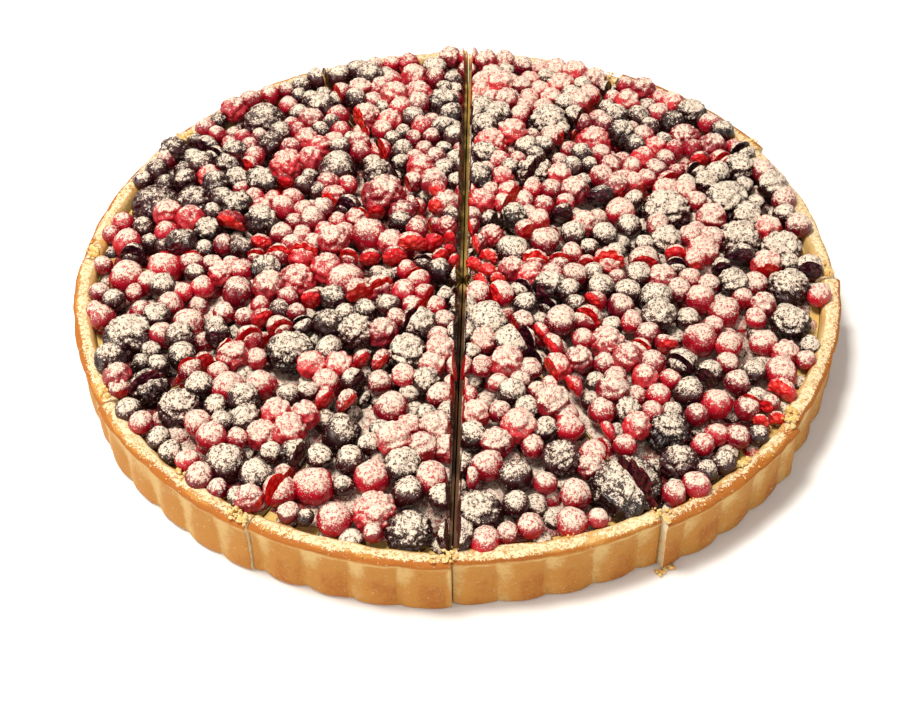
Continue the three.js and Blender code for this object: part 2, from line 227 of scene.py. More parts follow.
@dataclass(frozen=True)
class HeapLayout:
    """Where the berries lie: the large ones listed one by one, the small ones settled between them.

    Lengths are in mm. A share is of the berry's own radius, unless it says otherwise.
    """

    brambles: tuple[Place, ...] = (
        (295.6, 121.9, 23.6), (272, 119.5, 16), (197, 122, 18), (17.5, 84, 17.5), (5, 106, 16),
        (2, 121, 15), (17, 109, 17), (352, 121, 15), (217, 119, 14), (210, 123, 13), (219, 76, 16),
        (162, 122, 18), (160, 107, 15), (131, 118, 18), (65, 92, 16), (308, 111, 14.5), (288, 104, 12.5),
        (228, 54, 13), (250, 54, 14), (57, 57, 15), (122, 56, 12), (305.5, 124, 12.5), (262.2, 127.3, 14),
        (343, 123, 13.5),
    )
    raspberries: tuple[Place, ...] = (
        (126, 47, 17), (51, 89, 13.5), (139, 88, 13.5), (32.9, 15.5, 8.6), (105.2, 13.9, 7.6),
        (98, 105, 13), (256.7, 121.6, 13.3), (38, 118, 13), (192, 60, 13), (112, 96, 12.5),
        (78, 70, 12.5), (318, 70, 12.5),
    )
    blackcurrants: tuple[Place, ...] = (
        (130.5, 72, 16.5), (237.7, 12.4, 9.6), (278.9, 106.5, 11.6), (278, 118.4, 9.2), (261, 113, 11),
        (231, 123, 14), (237, 122, 12), (341, 75, 13), (324.2, 105, 10), (318, 104, 11),
        (323.5, 94, 10.5), (309.7, 131.3, 8.8), (317.5, 132.3, 7.6), (328.8, 117.3, 8.6),
        (307, 129.5, 8.1), (245, 94, 14.5), (250, 104.5, 10.5), (287, 37, 15.5), (293, 50, 15.5),
        (2, 21, 12.5), (230, 91, 9), (9.5, 56, 10), (272, 89, 10.5), (338, 55, 11), (93.5, 126, 11.5),
        (188, 126, 9), (247.6, 131, 6),
    )
    currants: tuple[Place, ...] = (
        (251.4, 127.7, 11), (285.3, 128.2, 10.4), (279.4, 127.2, 8.5), (288.9, 130.1, 6.9),
        (257.5, 130.5, 6.8), (287.6, 118.5, 10.8), (283.6, 112.4, 7.7), (318.7, 114.3, 10.4),
        (325.1, 114.7, 9.5), (321.4, 123, 9.4), (313.5, 122.8, 8.2), (324.3, 128.6, 6.7),
        (315.1, 127.5, 8.2), (331.5, 125.1, 11.7), (332, 95, 12.5), (333, 105, 10), (336.5, 116, 10),
        (342, 99, 12), (344, 91, 11), (356, 69, 12), (22, 66, 12), (322.5, 57.5, 10.5), (314.5, 51, 12),
        (197, 43, 14), (159, 35, 13.5), (192, 81, 12.5), (182, 122, 13.5), (173, 125, 11.5),
        (180, 108, 13.5), (198, 101, 12), (219, 102, 12), (223, 93, 11), (245, 118, 13.5),
        (242, 122, 11.5), (254, 108, 12), (264.5, 106, 11), (264.5, 72, 9.5), (253, 79.5, 12),
        (274, 103, 11), (287.8, 23.3, 9.2), (10, 33, 11), (56.5, 132, 8.5),
    )
    bare: tuple[HalfPlace, ...] = (
        (173.7, 73.2, 8.5, 262, 2, Kind.CURRANT), (166.8, 87.3, 11, 250, -10, Kind.RASPBERRY),
        (238.3, 85.1, 9, 310, -8, Kind.CURRANT), (242.3, 83.6, 9, 320, -10, Kind.RASPBERRY),
        (238.3, 64.2, 8, 310, -8, Kind.CURRANT), (244.4, 61.9, 8.5, 320, -10, Kind.RASPBERRY),
        (203.9, 57.4, 8, 275, 2, Kind.CURRANT), (205.1, 77.0, 9, 300, -6, Kind.CURRANT),
        (141.5, 39.0, 8.5, 275, -10, Kind.CURRANT), (102.0, 32.7, 10, 230, -8, Kind.RASPBERRY),
        (183.8, 32.2, 8, 275, -4, Kind.CURRANT), (186.0, 23.1, 9.5, 272, 2, Kind.CURRANT),
        (166.1, 14.5, 10.5, 270, 2, Kind.RASPBERRY), (156.0, 9.0, 9, 300, -6, Kind.CURRANT),
        (146.0, 80.1, 8, 265, -6, Kind.CURRANT), (359.5, 69.4, 10.5, 268, 6, Kind.CURRANT),
        (358.5, 80.3, 8.5, 268, 2, Kind.CURRANT), (330.4, 56.1, 9, 225, -6, Kind.CURRANT),
        (302.6, 60.1, 10, 215, -10, Kind.CURRANT), (303.0, 51.3, 8, 215, -10, Kind.CURRANT),
        (299.0, 78.4, 8.5, 210, -10, Kind.CURRANT), (298.5, 100.2, 7.5, 205, -10, Kind.CURRANT),
        (325.0, 88.3, 9, 268, -4, Kind.CURRANT), (265.2, 72.0, 8.5, 0, -10, Kind.CURRANT),
        (265.0, 108.0, 9, 0, -10, Kind.CURRANT), (272.2, 106.0, 8.5, 180, -8, Kind.CURRANT),
        (272.2, 72.3, 8.5, 180, -10, Kind.CURRANT), (27.3, 63.0, 11, 262, -8, Kind.BLACKCURRANT),
        (206.1, 94.2, 10, 265, -8, Kind.BLACKCURRANT), (358.0, 104.2, 11, 268, -10, Kind.BLACKCURRANT),
        (27.6, 45.3, 9, 265, -10, Kind.BLACKCURRANT), (29.8, 111.7, 9, 262, -8, Kind.CURRANT),
        (66.4, 14.3, 8, 195, 0, Kind.CURRANT), (23.8, 8, 8.5, 205, 8, Kind.RASPBERRY),
        (310, 10, 7, 235, 22, Kind.RASPBERRY), (315, 15.6, 7, 250, 28, Kind.RASPBERRY),
        (296, 18.4, 6.5, 225, 25, Kind.RASPBERRY), (313, 21.4, 6.5, 260, 22, Kind.RASPBERRY),
        (345, 12, 7, 240, 16, Kind.RASPBERRY), (105.4, 27.5, 8.5, 250, 8, Kind.RASPBERRY),
        (188.8, 6, 7, 300, 8, Kind.CURRANT), (250, 5, 6.5, 310, 8, Kind.CURRANT),
        (116, 8.6, 6.6, 262, 10, Kind.CURRANT), (150, 4.4, 5.2, 280, 10, Kind.CURRANT),
        (326.7, 129.3, 9.5, 232, 6, Kind.RASPBERRY), (322.2, 133.5, 6, 262, 16, Kind.RASPBERRY),
        (320.4, 129.6, 5.5, 240, 20, Kind.RASPBERRY),
    )
    seed: int = 20177
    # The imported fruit: its height in the middle, how much lower it is at `span`, and the cream's.
    mid: float = 23.5
    fall: float = 4.2
    span: float = 124.0
    cream_top: float = 18.8
    # Large berries: the same for their tops, with a rise for each mm of radius over the usual.
    large_top: float = 33.0
    large_fall: float = 5.5
    large_span: float = 130.0
    large_lift: float = 0.25
    usual_r: float = 5.0
    bramble_flat: float = 0.88
    # Halved berries: how high they lie, and the share of a large one's radius that hides one.
    halved_stand: float = 0.8
    halved_lift: float = 1.6
    buried: float = 0.75
    # Small berries: how they are spread, how they stand, and which draws make a beaded one.
    pitch: float = 8.3
    jitter: float = 2.2
    lap: float = 0.45
    stand: float = 0.75
    stand_on_cream: float = 0.8
    toss: float = 2.6
    bramble_from: float = 0.76
    raspberry_from: float = 0.70
    # The ring along the pastry, and the room that it keeps.
    edge_r: float = 131.0
    edge_pitch: float = 8.0
    edge_aside: tuple[float, float] = (-0.2, 0.2)
    edge_out: tuple[float, float] = (-1.5, 1.0)
    edge_room: float = 6.0
    # Where the heap swells out: by how much, and the directions at which that starts and ends.
    brim_out: float = 1.3
    brim_start: tuple[float, float] = (62.0, 80.0)
    brim_end: tuple[float, float] = (158.0, 178.0)
    rim_r: float = 135.5
    rim_rise: float = 0.3
    # Berries of the lower layer, seen in the gaps.
    under_pitch: float = 5.6
    under_jitter: float = 0.4
    under_r: float = 3.5
    under_more: float = 1.2
    under_reds: float = 0.45
    under_sink: float = 0.4
    under_touch: float = 0.86
    under_depth: float = 3.0
    # Settling: how far out berries may lie, how close they come, and how hard they push.
    reach: float = 136.2
    inside: float = 0.9
    touch: float = 0.87
    stack: float = 0.6
    push: float = 0.27
    settle_steps: int = 70
    # Berries moved aside at a cut: their share, where that starts, and the gaps they clear.
    parted: float = 0.5
    parted_from: float = 20.0
    parted_gaps: tuple[float, float] = (1.3, 3.0)
    # How sugar varies, and how much less lies on halved, large dark and front dark berries.
    dust_spread: tuple[float, float] = (-0.06, 0.20)
    halved_less: float = 0.3
    dark_less: float = 0.04
    front_less: float = 0.17
    front_y: float = -60.0

    def bed(self, distance: float) -> float:
        """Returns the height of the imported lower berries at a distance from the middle."""
        return self.mid - self.fall * (distance / self.span) ** 2

    def brim(self, x: float, y: float) -> float:
        """Returns how much further out than usual the berries may lie at a place, in mm."""
        way = math.degrees(math.atan2(y, x))
        swell = self.brim_out * shade(way, *self.brim_start) * (1 - shade(way, *self.brim_end))
        return SLICING.shift(x, y) + swell

    def rest(self, berry: Berry) -> float:
        """Returns the height at which a small berry's middle rests."""
        distance = math.hypot(berry.x, berry.y)
        over = distance + berry.r - SLICING.shift(berry.x, berry.y) - self.rim_r
        bed = max(self.bed(distance) + self.stand * berry.r, self.cream_top + self.stand_on_cream * berry.r)
        return bed + berry.lift + self.rim_rise * max(over, 0)

    def large(self) -> list[Berry]:
        """Returns the berries placed one by one from the lists."""
        groups = {
            Kind.BRAMBLE: self.brambles, Kind.RASPBERRY: self.raspberries,
            Kind.BLACKCURRANT: self.blackcurrants, Kind.CURRANT: self.currants,
        }
        berries = []
        for kind, places in groups.items():
            flat = self.bramble_flat if kind is Kind.BRAMBLE else 1.0
            for degrees, distance, width in places:
                way, r = math.radians(degrees), width / 2
                top = self.large_top - self.large_fall * (distance / self.large_span) ** 2
                top += self.large_lift * (r - self.usual_r)
                berries.append(Berry(distance * math.cos(way), distance * math.sin(way),
                                     top - r * flat, r, kind, fixed=True, flat=flat))
        return berries

    def halved(self, taken: list[Berry]) -> list[Berry]:
        """Returns the berries that lie with a bare cut face to the open, clear of the large ones."""
        berries = []
        for degrees, distance, width, towards, rise, kind in self.bare:
            way, out, up = math.radians(degrees), math.radians(towards), math.radians(rise)
            face = Vector((math.cos(out) * math.cos(up), math.sin(out) * math.cos(up), math.sin(up)))
            berry = Berry(distance * math.cos(way), distance * math.sin(way), 0, width / 2, kind,
                          fixed=True, cut_way=face)
            berry.z = self.bed(distance) + self.halved_stand * berry.r + self.halved_lift
            if all(math.hypot(b.x - berry.x, b.y - berry.y) > self.buried * b.r for b in taken):
                berries.append(berry)
        return berries

    def pick(self, x: float, y: float, draw: Draw) -> Berry:
        """Returns a small berry of a drawn kind and size at a place."""
        share, size, lift, beaded = draw.unit(), draw.unit(), draw.unit(), draw.unit()
        if share < SLICING.blend(SLICING.dark, x, y):
            kind = Kind.BRAMBLE if beaded > self.bramble_from else Kind.BLACKCURRANT
        else:
            kind = Kind.RASPBERRY if beaded > self.raspberry_from else Kind.CURRANT
        least, more, power = SMALL_SIZES[kind]
        return Berry(x, y, 0, least + more * size**power, kind, lift=self.toss * lift**2)

    def clear(self, berry: Berry, taken: list[Berry]) -> bool:
        """Returns whether a small berry is clear of those already laid."""
        room = self.lap * berry.r
        return all(math.hypot(b.x - berry.x, b.y - berry.y) > b.r + room for b in taken)

    def edge(self, taken: list[Berry], draw: Draw) -> list[Berry]:
        """Returns a ring of small berries along the pastry, clear of the large ones."""
        berries = []
        count = round(2 * math.pi * self.edge_r / self.edge_pitch)
        for k in range(count):
            way = 2 * math.pi * (k + draw.span(*self.edge_aside)) / count
            distance = self.edge_r + draw.span(*self.edge_out)
            distance += self.brim(distance * math.cos(way), distance * math.sin(way))
            berry = self.pick(distance * math.cos(way), distance * math.sin(way), draw)
            if self.clear(berry, taken):
                berries.append(berry)
        return berries

    def small(self, taken: list[Berry], draw: Draw) -> list[Berry]:
        """Returns small berries on a jittered lattice, clear of those already laid.

        Args:
            taken: The berries already laid.
            draw: Random sequence.
        """
        berries = []
        rows = math.ceil(self.reach / (self.pitch * ROW))
        columns = math.ceil(self.reach / self.pitch) + 1
        for row in range(-rows, rows + 1):
            for column in range(-columns, columns + 1):
                x = (column + 0.5 * (row % 2)) * self.pitch + draw.span(-1, 1) * self.jitter
                y = row * self.pitch * ROW + draw.span(-1, 1) * self.jitter
                berry = self.pick(x, y, draw)
                if math.hypot(x, y) > self.edge_r + self.brim(x, y) - self.edge_room:
                    continue
                if self.clear(berry, taken):
                    berries.append(berry)
        return berries

    def under(self, taken: list[Berry], draw: Draw) -> list[Berry]:
        """Returns the berries seen in the gaps between the top ones.

        Args:
            taken: The settled top berries.
            draw: Random sequence.
        """
        laid = [(b.x, b.y, b.z, b.r) for b in taken]
        berries = []
        count = math.ceil(self.reach / self.under_pitch)
        for row in range(-count, count + 1):
            for column in range(-count, count + 1):
                x = (column + draw.span(-self.under_jitter, self.under_jitter)) * self.under_pitch
                y = (row + draw.span(-self.under_jitter, self.under_jitter)) * self.under_pitch
                berry = self.pick(x, y, draw)
                berry.r = self.under_r + self.under_more * draw.unit()
                berry.kind = Kind.CURRANT if draw.unit() < self.under_reds else Kind.BLACKCURRANT
                if math.hypot(x, y) > self.reach + SLICING.shift(x, y) - berry.r:
                    continue
                berry.z = self.fit_below(berry, laid)
                if berry.z < self.bed(math.hypot(x, y)) - self.under_depth:
                    continue
                laid.append((berry.x, berry.y, berry.z, berry.r))
                berry.lift = LOWER
                berries.append(berry)
        return berries

    def fit_below(self, berry: Berry, laid: list[tuple[float, float, float, float]]) -> float:
        """Returns the greatest height at which a berry is clear below its neighbours."""
        height = self.rest(berry) - self.under_sink
        for x, y, z, r in laid:
            flat = (x - berry.x) ** 2 + (y - berry.y) ** 2
            reach = (self.under_touch * (r + berry.r)) ** 2
            if flat < reach:
                height = min(height, z - math.sqrt(reach - flat))
        return height

    def settle(self, berries: list[Berry]) -> None:
        """Pushes berries apart until they rest side by side.

        Args:
            berries: All berries; the small ones are moved.
        """
        place = np.array([[b.x, b.y] for b in berries])
        radius = np.array([b.r for b in berries])
        fixed = np.array([b.fixed for b in berries])
        lift = np.array([b.lift for b in berries])
        height = np.array([b.z for b in berries])
        reach = self.touch * (radius[:, None] + radius[None, :])
        alike = fixed[:, None] == fixed[None, :]
        share = np.where(alike, self.push, np.where(fixed[:, None], 0.0, 2 * self.push))
        for _ in range(self.settle_steps):
            distance = np.hypot(*place.T)
            bed = self.bed(distance) + self.stand * radius
            rest = np.maximum(bed, self.cream_top + self.stand_on_cream * radius) + lift
            height = np.where(fixed, height, rest)
            away = place[:, None, :] - place[None, :, :]
            flat = np.linalg.norm(away, axis=2)
            rise = np.minimum(np.abs(height[:, None] - height[None, :]), reach * self.stack)
            lack = np.sqrt(reach**2 - rise**2) - flat
            near = (lack > 0) & (flat > 1e-6) & (flat < reach)
            push = np.where(near, share * lack / np.maximum(flat, 1e-6), 0)
            place = place + (away * push[:, :, None]).sum(axis=1)
            distance = np.hypot(*place.T)
            shift = np.array([self.brim(x, y) for x, y in place])
            over = np.maximum(distance + self.inside * radius - self.reach - shift, 0) * ~fixed
            place = place * (1 - over / np.maximum(distance, 1e-6))[:, None]
        for berry, (x, y) in zip(berries, place):
            berry.x, berry.y = float(x), float(y)
            if not berry.fixed:
                berry.z = self.rest(berry)

    def part(self, berries: list[Berry], draw: Draw) -> None:
        """Moves about half of the small berries that lie on a cut aside, so the knife misses them."""
        for berry in berries:
            if berry.fixed or draw.unit() > self.parted:
                continue
            if math.hypot(berry.x, berry.y) < self.parted_from:
                continue
            middle = Vector((berry.x, berry.y, 0))
            for point, out in SLICING.planes(SLICING.slice_of(berry.x, berry.y), *self.parted_gaps):
                over = berry.r - (point - middle).dot(out)
                if 0 < over < berry.r:
                    berry.x, berry.y = berry.x - out.x * over, berry.y - out.y * over

    def all(self) -> list[Berry]:
        """Returns every berry, settled, with its share of sugar and its shade."""
        draw = Draw(self.seed)
        berries = self.large()
        berries += self.halved(berries)
        berries += self.edge(berries, draw)
        berries += self.small(berries, draw)
        self.settle(berries)
        self.part(berries, draw)
        berries += self.under(berries, draw)
        for berry in berries:
            berry.dust = SLICING.blend(SLICING.dust, berry.x, berry.y) + draw.span(*self.dust_spread)
            if berry.cut_way:
                berry.dust -= self.halved_less
            if berry.fixed and berry.kind in DARKS:
                berry.dust -= self.dark_less + (self.front_less if berry.y < self.front_y else 0)
            berry.tint = draw.unit()
        return berries


LAYOUT = HeapLayout()


# ------------------------------------------------------------------ shader helpers


class Graph:
    """Adds shader nodes to a tree and wires them.

    Args:
        tree: Node tree to fill.
    """

    def __init__(self, tree: bpy.types.NodeTree) -> None:
        """Keeps the tree."""
        self.tree = tree

    def add(self, kind: str, inputs: dict[str | int, object] | None = None,
            **options: object) -> bpy.types.Node:
        """Adds a node.

        Args:
            kind: Node type without its ShaderNode prefix.
            inputs: Values or sockets for its inputs, by name or number.
            options: Settings of the node itself.

        Returns:
            The new node.
        """
        node = self.tree.nodes.new("ShaderNode" + kind)
        for name, value in options.items():
            setattr(node, name, value)
        for name, value in (inputs or {}).items():
            if isinstance(value, bpy.types.NodeSocket):
                self.tree.links.new(value, node.inputs[name])
            else:
                node.inputs[name].default_value = value
        return node

    def math(self, operation: str, a: object, b: object = 0.0,
             clamp: bool = False) -> bpy.types.NodeSocket:
        """Returns the result of a Math node."""
        return self.add("Math", {0: a, 1: b}, operation=operation, use_clamp=clamp).outputs[0]

    def scaled(self, value: object, factor: float, offset: float) -> bpy.types.NodeSocket:
        """Returns a value times a factor plus an offset."""
        node = self.add("Math", {0: value, 1: factor, 2: offset}, operation="MULTIPLY_ADD")
        return node.outputs[0]

    def mark(self, name: str) -> bpy.types.NodeSocket:
        """Returns a value that each point of the piece holds."""
        return self.add("Attribute", attribute_name=name).outputs["Fac"]

    def sugar(self) -> bpy.types.Node:
        """Returns a node that spreads icing sugar by the piece's own share of it."""
        tree = bpy.data.node_groups.get(SUGAR.name) or SUGAR.build()
        fields = {"Dust": self.mark("dust"), "Grain Size": SUGAR.clump * MM}
        return self.add("Group", fields, node_tree=tree)

    def noise(self, at: object, scale: object, detail: float = 2.0,
              rough: float = 0.5) -> bpy.types.NodeSocket:
        """Returns a noise value at a place, with the scale in features per metre."""
        fields = {"Vector": at, "Scale": scale, "Detail": detail, "Roughness": rough}
        return self.add("TexNoise", fields).outputs["Fac"]

    def step(self, value: object, low: float, high: float, to_low: float = 0.0,
             to_high: float = 1.0) -> bpy.types.NodeSocket:
        """Returns a value eased from one level to another between two limits."""
        fields = {
            "Value": value, "From Min": low, "From Max": high, "To Min": to_low, "To Max": to_high,
        }
        return self.add("MapRange", fields, interpolation_type="SMOOTHSTEP").outputs["Result"]

    def mix(self, share: object, a: object, b: object) -> bpy.types.NodeSocket:
        """Returns a colour mixed from two."""
        node = self.add("Mix", {0: share}, data_type="RGBA")
        for slot, value in ((6, a), (7, b)):
            if isinstance(value, bpy.types.NodeSocket):
                self.tree.links.new(value, node.inputs[slot])
            else:
                node.inputs[slot].default_value = (*value, 1)
        return node.outputs[2]

    def uneven(self, value: object, pattern: object, amount: float) -> bpy.types.NodeSocket:
        """Returns a value made uneven by a pattern from 0 to 1."""
        change = self.math("MULTIPLY", self.math("SUBTRACT", pattern, 0.5), amount)
        return self.math("ADD", value, change)

    def place(self) -> bpy.types.NodeSocket:
        """Returns the place on the piece, in metres."""
        return self.add("TexCoord").outputs["Object"]

    def relief(self, shader: bpy.types.Node, height: object, depth: float, strength: float) -> None:
        """Gives a shader relief, with its depth in mm."""
        fields = {"Height": height, "Distance": depth * MM, "Strength": strength}
        self.tree.links.new(self.add("Bump", fields).outputs[0], shader.inputs["Normal"])


@dataclass(frozen=True)
class IcingSugar:
    """Icing sugar: grains that lie where a surface faces up, more of them in loose patches.

    Each pair is the factor and the offset that a value is used with, or the limits it is eased
    between. The clump is in mm, and the patches are counted per metre.
    """

    name: str = "icing_sugar"
    colour: tuple[float, float, float] = (0.89, 0.745, 0.59)
    clump: float = 0.48
    patches: float = 150.0
    facing: tuple[float, float] = (2.0, -0.79)
    share: tuple[float, float] = (1.2, -0.60)
    patchy: tuple[float, float] = (1.6, -0.80)
    fine: float = 0.62
    coarse: float = 0.38
    coarse_rate: float = 0.42
    need: tuple[float, float] = (-0.190, 0.640)
    edge: tuple[float, float] = (-0.03, 0.035)
    film: tuple[float, float] = (0.25, 1.0)
    relief: tuple[float, float] = (1.6, -0.3)

    def build(self) -> bpy.types.NodeTree:
        """Returns the effect as a node group that any finish can use."""
        tree = bpy.data.node_groups.new(self.name, "ShaderNodeTree")
        for way, sockets in {"INPUT": ("Dust", "Grain Size"), "OUTPUT": ("Sugar", "Film", "Relief")}.items():
            for socket in sockets:
                tree.interface.new_socket(socket, in_out=way, socket_type="NodeSocketFloat")
        graph = Graph(tree)
        given = tree.nodes.new("NodeGroupInput").outputs
        result = tree.nodes.new("NodeGroupOutput").inputs
        at = graph.place()
        up = graph.add("SeparateXYZ", {0: graph.add("NewGeometry").outputs["Normal"]}).outputs[2]
        level = graph.scaled(up, *self.facing)
        level = graph.math("ADD", level, graph.scaled(given["Dust"], *self.share))
        patch = graph.scaled(graph.noise(at, self.patches), *self.patchy)
        level = graph.math("ADD", level, patch, clamp=True)
        rate = graph.math("DIVIDE", 1.0, given["Grain Size"])
        coarse = graph.noise(at, graph.scaled(rate, self.coarse_rate, 0.0), 1.0)
        grain = graph.scaled(graph.noise(at, rate, 2.0, 0.7), self.fine, 0.0)
        grain = graph.math("ADD", grain, graph.scaled(coarse, self.coarse, 0.0))
        need = graph.scaled(level, *self.need)
        sugar = graph.step(graph.math("SUBTRACT", grain, need), *self.edge)
        tree.links.new(sugar, result["Sugar"])
        tree.links.new(graph.step(level, *self.film), result["Film"])
        height = graph.math("MULTIPLY", sugar, graph.scaled(grain, *self.relief))
        tree.links.new(height, result["Relief"])
        return tree


SUGAR = IcingSugar()


# ------------------------------------------------------------------ finishes


@dataclass(frozen=True)
class Finish:
    """A surface finish. Colours are linear red, green and blue."""

    name: str

    def build(self) -> bpy.types.Material:
        """Returns the material."""
        material = bpy.data.materials.new(self.name)
        material.use_nodes = True
        self.wire(Graph(material.node_tree), material.node_tree.nodes["Principled BSDF"])
        return material

    def wire(self, graph: Graph, shader: bpy.types.Node) -> None:
        """Adds the nodes of this finish.

        Args:
            graph: The material's nodes.
            shader: Its shader.
        """
        raise NotImplementedError

    def soften(self, shader: bpy.types.Node, share: float, depth: float,
               reach: tuple[float, float, float] | None = None) -> None:
        """Lets light into the surface.

        Args:
            shader: The shader.
            share: Share of the light that goes in.
            depth: How deep it goes, in mm.
            reach: How far red, green and blue spread, as shares of the depth.
        """
        shader.inputs["Subsurface Weight"].default_value = share
        shader.inputs["Subsurface Scale"].default_value = depth * MM
        if reach:
            shader.inputs["Subsurface Radius"].default_value = reach


@dataclass(frozen=True)
class BerryFinish(Finish):
    """Skin of a berry under icing sugar.

    The deep and bright colours are the two ends of the shade that a berry may have. The film and
    the veil are the share and colour of fine sugar between the grains, and the cover is how much
    of the skin a grain hides.
    """

    deep: tuple[float, float, float]
    bright: tuple[float, float, float]
    gloss: float = 0.22
    flesh: float = 0.2
    depth: float = 1.6
    film: float = 0.04
    veil: tuple[float, float, float] = (0.60, 0.45, 0.42)
    cover: float = 0.92
    mottles: float = 320.0
    sugar_rough: float = 0.85
    relief: float = 0.45

    def wire(self, graph: Graph, shader: bpy.types.Node) -> None:
        """Adds a mottled skin with sugar on it."""
        mottle = graph.math("SUBTRACT", graph.noise(graph.place(), self.mottles), 0.5)
        tone = graph.math("ADD", graph.mark("tint"), mottle, clamp=True)
        skin = graph.mix(tone, self.deep, self.bright)
        group = graph.sugar().outputs
        film = graph.mix(graph.math("MULTIPLY", group["Film"], self.film), skin, self.veil)
        colour = graph.mix(graph.math("MULTIPLY", group["Sugar"], self.cover), film, SUGAR.colour)
        graph.tree.links.new(colour, shader.inputs["Base Color"])
        gloss = graph.step(group["Sugar"], 0.0, 0.4, self.gloss, self.sugar_rough)
        graph.tree.links.new(gloss, shader.inputs["Roughness"])
        graph.relief(shader, group["Relief"], self.relief, 0.8)
        self.soften(shader, self.flesh, self.depth, (1.0, 0.25, 0.2))


@dataclass(frozen=True)
class CutFinish(Finish):
    """Wet cut face of a berry, with cells in its flesh."""

    rind: tuple[float, float, float]
    flesh: tuple[float, float, float]
    gloss: float = 0.16
    cells: float = 480.0
    grains: float = 500.0
    relief: float = 0.8

    def wire(self, graph: Graph, shader: bpy.types.Node) -> None:
        """Adds the cells and the veins between them."""
        at = graph.place()
        cells = graph.add("TexVoronoi", {"Vector": at, "Scale": self.cells}).outputs["Distance"]
        veins = graph.step(graph.math("ADD", cells, graph.noise(at, self.grains)), 0.5, 1.25)
        graph.tree.links.new(graph.mix(veins, self.flesh, self.rind), shader.inputs["Base Color"])
        shader.inputs["Roughness"].default_value = self.gloss
        graph.relief(shader, veins, self.relief, 0.9)
        self.soften(shader, 0.35, 2.0, (1.0, 0.2, 0.1))


@dataclass(frozen=True)
class PastryFinish(Finish):
    """Baked shortcrust: browned outside, pale in the valleys and, as painted light, on the left of each
    flute and of the case, with painted shade in its pores, sugared where it faces up.
    """

    name: str = "shortcrust"
    pale: tuple[float, float, float] = (0.60, 0.39, 0.145)
    golden: tuple[float, float, float] = (0.46, 0.20, 0.034)
    brown: tuple[float, float, float] = (0.36, 0.11, 0.012)
    sugared: tuple[float, float, float] = (0.88, 0.70, 0.44)
    patches: float = 70.0
    crumbs: float = 700.0
    pores: float = 450.0
    patchy: float = 0.95
    crumbly: float = 0.5
    cover: float = 0.85
    relief: float = 0.5

    def wire(self, graph: Graph, shader: bpy.types.Node) -> None:
        """Adds the browning, the pores with painted shade in their pits, the crumb and the sugar."""
        at = graph.place()
        crumb = graph.noise(at, self.crumbs, 3.0, 0.6)
        level = graph.uneven(graph.mark("bake"), graph.noise(at, self.patches, 3.0, 0.6), self.patchy)
        level = graph.uneven(level, crumb, self.crumbly)
        base = graph.mix(graph.step(level, -0.05, 0.45), self.pale, self.golden)
        base = graph.mix(graph.step(level, 0.55, 1.0), base, self.brown)
        pores = graph.add("TexVoronoi", {"Vector": at, "Scale": self.pores}).outputs["Distance"]
        pit = graph.step(pores, 0.02, 0.16)
        # Painted shade: the pores' pits are darkened halfway to the brown colour.
        base = graph.mix(graph.step(pit, 0.0, 1.0, 0.5, 0.0), base, self.brown)
        group = graph.sugar().outputs
        colour = graph.mix(graph.math("MULTIPLY", group["Sugar"], self.cover), base, self.sugared)
        graph.tree.links.new(colour, shader.inputs["Base Color"])
        shader.inputs["Roughness"].default_value = 0.72
        shader.inputs["Specular IOR Level"].default_value = 0.25
        height = graph.math("ADD", graph.math("MULTIPLY", crumb, 0.6), graph.math("MULTIPLY", pit, 0.35))
        height = graph.math("ADD", height, graph.math("MULTIPLY", group["Relief"], 0.6))
        graph.relief(shader, height, self.relief, 0.8)
        self.soften(shader, 0.08, 1.5)


@dataclass(frozen=True)
class CrumbFinish(Finish):
    """Broken pastry: pale, dry and grainy."""

    name: str = "pastry_crumb"
    pale: tuple[float, float, float] = (0.80, 0.69, 0.48)
    toasted: tuple[float, float, float] = (0.74, 0.50, 0.20)
    grains: float = 650.0
    patches: float = 120.0
    relief: float = 1.2

    def wire(self, graph: Graph, shader: bpy.types.Node) -> None:
        """Adds the grain and its toasted patches."""
        at = graph.place()
        grain = graph.noise(at, self.grains, 4.0, 0.7)
        patch = graph.math("MULTIPLY", graph.noise(at, self.patches), 0.6)
        share = graph.step(graph.math("ADD", grain, patch), 0.65, 1.0)
        graph.tree.links.new(graph.mix(share, self.pale, self.toasted), shader.inputs["Base Color"])
        shader.inputs["Roughness"].default_value = 0.85
        graph.relief(shader, grain, self.relief, 0.9)
        self.soften(shader, 0.15, 1.5)


